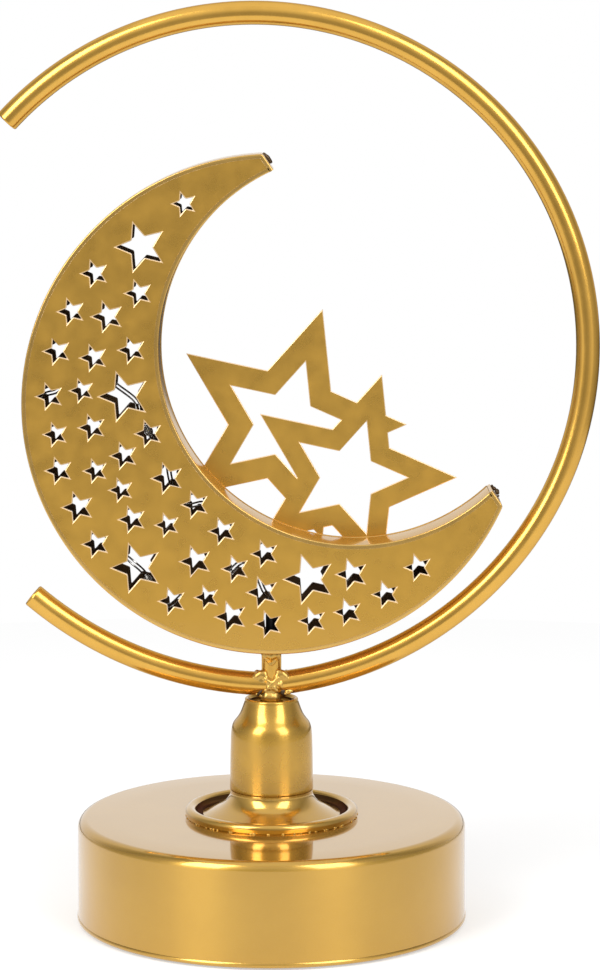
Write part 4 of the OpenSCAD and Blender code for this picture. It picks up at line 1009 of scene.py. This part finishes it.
cover_plastic = plastic("cover_plastic", (0.78, 0.74, 0.66), (0.72, 0.68, 0.60), 0.5, 0.35, 8)
black_plastic = plastic("black_plastic", (0.012, 0.012, 0.013), (0.02, 0.02, 0.02), 0.42, 0.3, 6)
foot_rubber = plastic("foot_rubber", (0.016, 0.016, 0.016), (0.035, 0.034, 0.032), 0.8, 0.25, 12)
cell_jacket = plastic("cell_jacket", (0.030, 0.120, 0.060), (0.045, 0.150, 0.080), 0.22, 3, 6)
wire_jacket = plastic("wire_jacket", (0.420, 0.010, 0.008), (0.340, 0.014, 0.010), 0.4, 0.6, 4)
lead_jacket = plastic("lead_jacket", (0.68, 0.65, 0.58), (0.60, 0.57, 0.50), 0.42, 0.6, 4)
plain_steel = plated("plain_steel", (0.42, 0.42, 0.41), (0.34, 0.33, 0.32), 0.35, 0.3)
zinc_steel = plated("zinc_steel", (0.55, 0.56, 0.58), (0.45, 0.46, 0.48), 0.28, 0.5)
nickel_steel = plated("nickel_steel", (0.66, 0.63, 0.58), (0.56, 0.53, 0.48), 0.2, 0.4)

# %% Which piece has which finish
# Each finish has its pieces, with the round of their edges in millimetres
INNER = [
    (cover_plastic, {"base_cover": 0.25, "cell_door": 0.2}),
    (foot_rubber, {"rubber_feet": 0.4, "rim_grommet": 0.15}),
    (black_plastic, {"lead_sleeve": 0.15, "switch_slider": 0.15}),
    (plain_steel, {"switch_housing": 0.15, "cover_brackets": 0.12, "stem_plate": 0.15}),
    (zinc_steel, {"cover_screws": 0.2, "stud_washer": 0.1, "stud_nut": 0.25, "stem_stud": 0.3}),
    (nickel_steel, {"contact_plates": 0.08, "switch_pins": 0.08, "contact_springs": 0}),
    (cell_jacket, {"cell_near": 0.4, "cell_far": 0.4}),
    (wire_jacket, {"base_wires": 0}),
    (lead_jacket, {"lead_wire": 0}),
]
for finish, pieces in INNER:
    for name, edge in pieces.items():
        finish_node(name, finish)
        if edge:
            soften(node[name], edge, limit=45)
print("inner pieces dressed:", sum(len(pieces) for _, pieces in INNER))

# %% [markdown]
# ## Studio
#
# Lacquered metal shows its surroundings, so the studio is half of its look. What a studio for such a
# photograph holds is simple: a pale round table, a white sweep behind, two tall soft boxes left and right
# of the camera, and a tent of cloth that is bright behind and dim at both sides, which draws the brown
# edges on every tube. The tent stands in the scene as a band of a large ball round the table, and only
# the camera looks past it. Everything that the tent and the table leave open is plain white, for the
# camera and for the reflections alike.

# %% Rays that see the white background
def seen_rays(mat):
    """1 for rays from the camera, off a gloss or through clear resin, and 0 for soft light."""
    rays = add(mat, "LightPath")
    total = None
    for kind in ("Is Camera Ray", "Is Glossy Ray", "Is Transmission Ray"):
        total = worked(mat, "ADD", (rays, kind), (total, "Value") if total else 0.0, use_clamp=True)
    return total


# %% Table
# These sizes are metres. A round opening that the base covers lets one look at the bottom cover, the door
# and the switch from below
TABLE_R, OPENING_R = 0.45, 0.046
TABLE_STEPS = 96
rounds = [2 * math.pi * k / TABLE_STEPS for k in range(TABLE_STEPS)]
table_points = [(TABLE_R * math.cos(a), TABLE_R * math.sin(a), 0) for a in rounds]
table_points += [(OPENING_R * math.cos(a) - STRUT_LEFT / 1000, OPENING_R * math.sin(a), 0) for a in rounds]
table_mesh = bpy.data.meshes.new("studio_table")
table_mesh.from_pydata(table_points, [], band(0, TABLE_STEPS, TABLE_STEPS))
table = put("studio_table", table_mesh)
table_white = bare_material("table_white")
reach = joined(table_white, "VectorMath", (add(table_white, "TexCoord"), "Object"), operation="LENGTH")
# The paper's colour, darkened away from the ornament as a painted fall of the light; its glow rises there
# so that it still looks white
far = spread(table_white, reach, "Value", 0.12, 0.42, 0.0, 1.0)
paper_with_falloff = mixed(table_white, far, "Result", (0.56, 0.56, 0.56), (0.18, 0.18, 0.18))
matt = add(table_white, "BsdfDiffuse")
coloured(table_white, paper_with_falloff, matt, "Color")
# The white background carries on over the table, and the ornament's shadow stays on it
lift = add(table_white, "Emission", Color=(1, 1, 1))
link(table_white, spread(table_white, far, "Result", 0, 1, 0.46, 0.80), "Result", lift, "Strength")
bright = joined(table_white, "AddShader", (matt, "BSDF"), (lift, "Emission"))
either = joined(table_white, "MixShader", (seen_rays(table_white), "Value"), (matt, "BSDF"),
                (bright, "Shader"))
link(table_white, either, "Shader", add(table_white, "OutputMaterial"), "Surface")
table_mesh.materials.append(table_white)

# %% Tent
# Metres, and degrees over the horizon of the ornament's middle
TENT_R, MIDDLE_Z = 3.0, 0.12
LOW_EDGE, HIGH_EDGE = -35, 64
tent_points, tent_faces = [], []
levels = np.radians(np.linspace(LOW_EDGE, HIGH_EDGE, 25))
turns = np.radians(np.arange(0, 360, 5))
for level in levels:
    tent_points += [(TENT_R * math.cos(level) * math.cos(a), TENT_R * math.cos(level) * math.sin(a),
                     TENT_R * math.sin(level)) for a in turns]
for row in range(len(levels) - 1):
    tent_faces += band(row * len(turns), (row + 1) * len(turns), len(turns))
tent_mesh = bpy.data.meshes.new("studio_tent")
tent_mesh.from_pydata(tent_points, [], tent_faces)
tent = put("studio_tent", tent_mesh)
tent.location = (0, 0, MIDDLE_Z)
tent.visible_camera = False
print("tent:", len(tent_faces), "panels of cloth,", TENT_R, "m away")

# %% Brightness of the cloth
tent_cloth = bare_material("tent_cloth")
tent_cloth.cycles.emission_sampling = "NONE"
toward = joined(tent_cloth, "VectorMath", (add(tent_cloth, "TexCoord"), "Object"), operation="NORMALIZE")
parts = parts_of(tent_cloth, toward, "Vector")
# Angle round the horizon, from 0 straight behind over 0.25 at the left to 0.5 in front
front = worked(tent_cloth, "MULTIPLY", (parts, "Y"), -1.0)
bearing = worked(tent_cloth, "ARCTAN2", (parts, "X"), (front, "Value"))
round_share = spread(tent_cloth, bearing, "Value", -math.pi, math.pi, 0.0, 1.0)


def profile(stops):
    """Brightness round the horizon from (degrees from the front, brightness) pairs."""
    ramp = add(tent_cloth, "ValToRGB")
    ramp.color_ramp.interpolation = "EASE"
    marks = ramp.color_ramp.elements
    for degrees, _ in stops[1:-1]:
        marks.new(degrees / 360 + 0.5)
    for mark, (_, value) in zip(marks, stops):
        mark.color = (value, value, value, 1)
    link(tent_cloth, round_share, "Result", ramp, 0)
    return ramp


SIDE_BY_SIDE = [(-80, 0.48), (-54, 0.95), (-34, 0.38), (-14, 0.30), (4, 0.38), (16, 0.55), (28, 0.66),
                (42, 0.82), (62, 0.48)]
LOW = [(-180, 0.98), (-140, 0.85), (-108, 0.36)] + SIDE_BY_SIDE + [(105, 0.36), (140, 0.85), (180, 0.98)]
# Behind and under the horizon the cloth ends in the dark of the room, which edges the tubes
UNDER = [(-180, 0.10), (-135, 0.14), (-108, 0.30)] + SIDE_BY_SIDE + [(105, 0.30), (135, 0.14), (180, 0.10)]
HIGH = [(-180, 0.82), (-140, 0.85), (-118, 0.50), (-98, 0.26), (-76, 0.50), (-38, 1.0), (0, 0.85),
        (38, 1.0), (76, 0.50), (98, 0.26), (118, 0.50), (140, 0.85), (180, 0.82)]
low, high, under = profile(LOW), profile(HIGH), profile(UNDER)
over_horizon = spread(tent_cloth, parts, "Z", -0.05, -0.01, 0.0, 1.0)
near_level = mixed(tent_cloth, over_horizon, "Result", (under, "Color"), (low, "Color"))
steep = spread(tent_cloth, parts, "Z", 0.10, 0.60, 0.0, 1.0)
cloth = mixed(tent_cloth, steep, "Result", (near_level, MIX_COLOUR), (high, "Color"))
light = add(tent_cloth, "Emission", Strength=1.0)
coloured(tent_cloth, cloth, light, "Color")
link(tent_cloth, light, "Emission", add(tent_cloth, "OutputMaterial"), "Surface")
tent_mesh.materials.append(tent_cloth)

# %% World
world = bpy.data.worlds.new("studio")
bpy.context.scene.world = world
world.use_nodes = True
world.node_tree.nodes.clear()
# The soft light that the world sheds is a little less than the white that one sees
shown = mixed(world, seen_rays(world), "Value", (0.85, 0.85, 0.85), (1.0, 1.0, 1.0))
glow = add(world, "Background", Strength=1.0)
coloured(world, shown, glow, "Color")
link(world, glow, "Background", add(world, "OutputWorld"), "Surface")
bpy.context.scene.view_settings.view_transform = "Standard"


# %% Soft boxes
BOX_UP = 32
BOX_AWAY, BOX_WIDE, BOX_TALL = 1.4, 0.6, 1.2


def soft_box(name, bearing_deg, radiance):
    """A soft box by its bearing from the front, with the brightness of its cloth."""
    middle = Vector((0, 0, MIDDLE_Z))
    a, e = math.radians(bearing_deg), math.radians(BOX_UP)
    place = middle + BOX_AWAY * Vector((math.sin(a) * math.cos(e), -math.cos(a) * math.cos(e), math.sin(e)))
    lamp = bpy.data.lights.new(name, "AREA")
    lamp.shape = "RECTANGLE"
    lamp.size = BOX_WIDE
    lamp.size_y = BOX_TALL
    lamp.energy = radiance * math.pi * BOX_WIDE * BOX_TALL
    box = put(name, lamp)
    box.location = place
    box.rotation_euler = (middle - place).to_track_quat("-Z", "Y").to_euler()
    print(name, "gives", round(lamp.energy, 1), "W")


soft_box("left_box", -42, 5.6)
soft_box("right_box", 38, 3.9)

# %% [markdown]
# ## Camera
#
# The photograph was taken from about three and a half times the ornament's height away and level with
# the top of the ring, looking down by not quite 5 degrees, so the ring is nearly a true circle and the
# base shows its top. The lens and a small downward shift put the frame where the photograph has it.

# %% Camera
CAMERA_AT = (7.49, -859.6, 233.5)
LOOKS_DOWN = 4.839
camera_data = bpy.data.cameras.new("photo_camera")
camera_data.lens = 123.05
camera_data.sensor_width = 36
camera_data.shift_y = -0.18
camera_data.clip_start = 0.01
camera_data.clip_end = 50
camera = put("photo_camera", camera_data)
camera.location = spot(*CAMERA_AT)
camera.rotation_euler = (math.radians(90 - LOOKS_DOWN), 0, 0)
bpy.context.scene.camera = camera
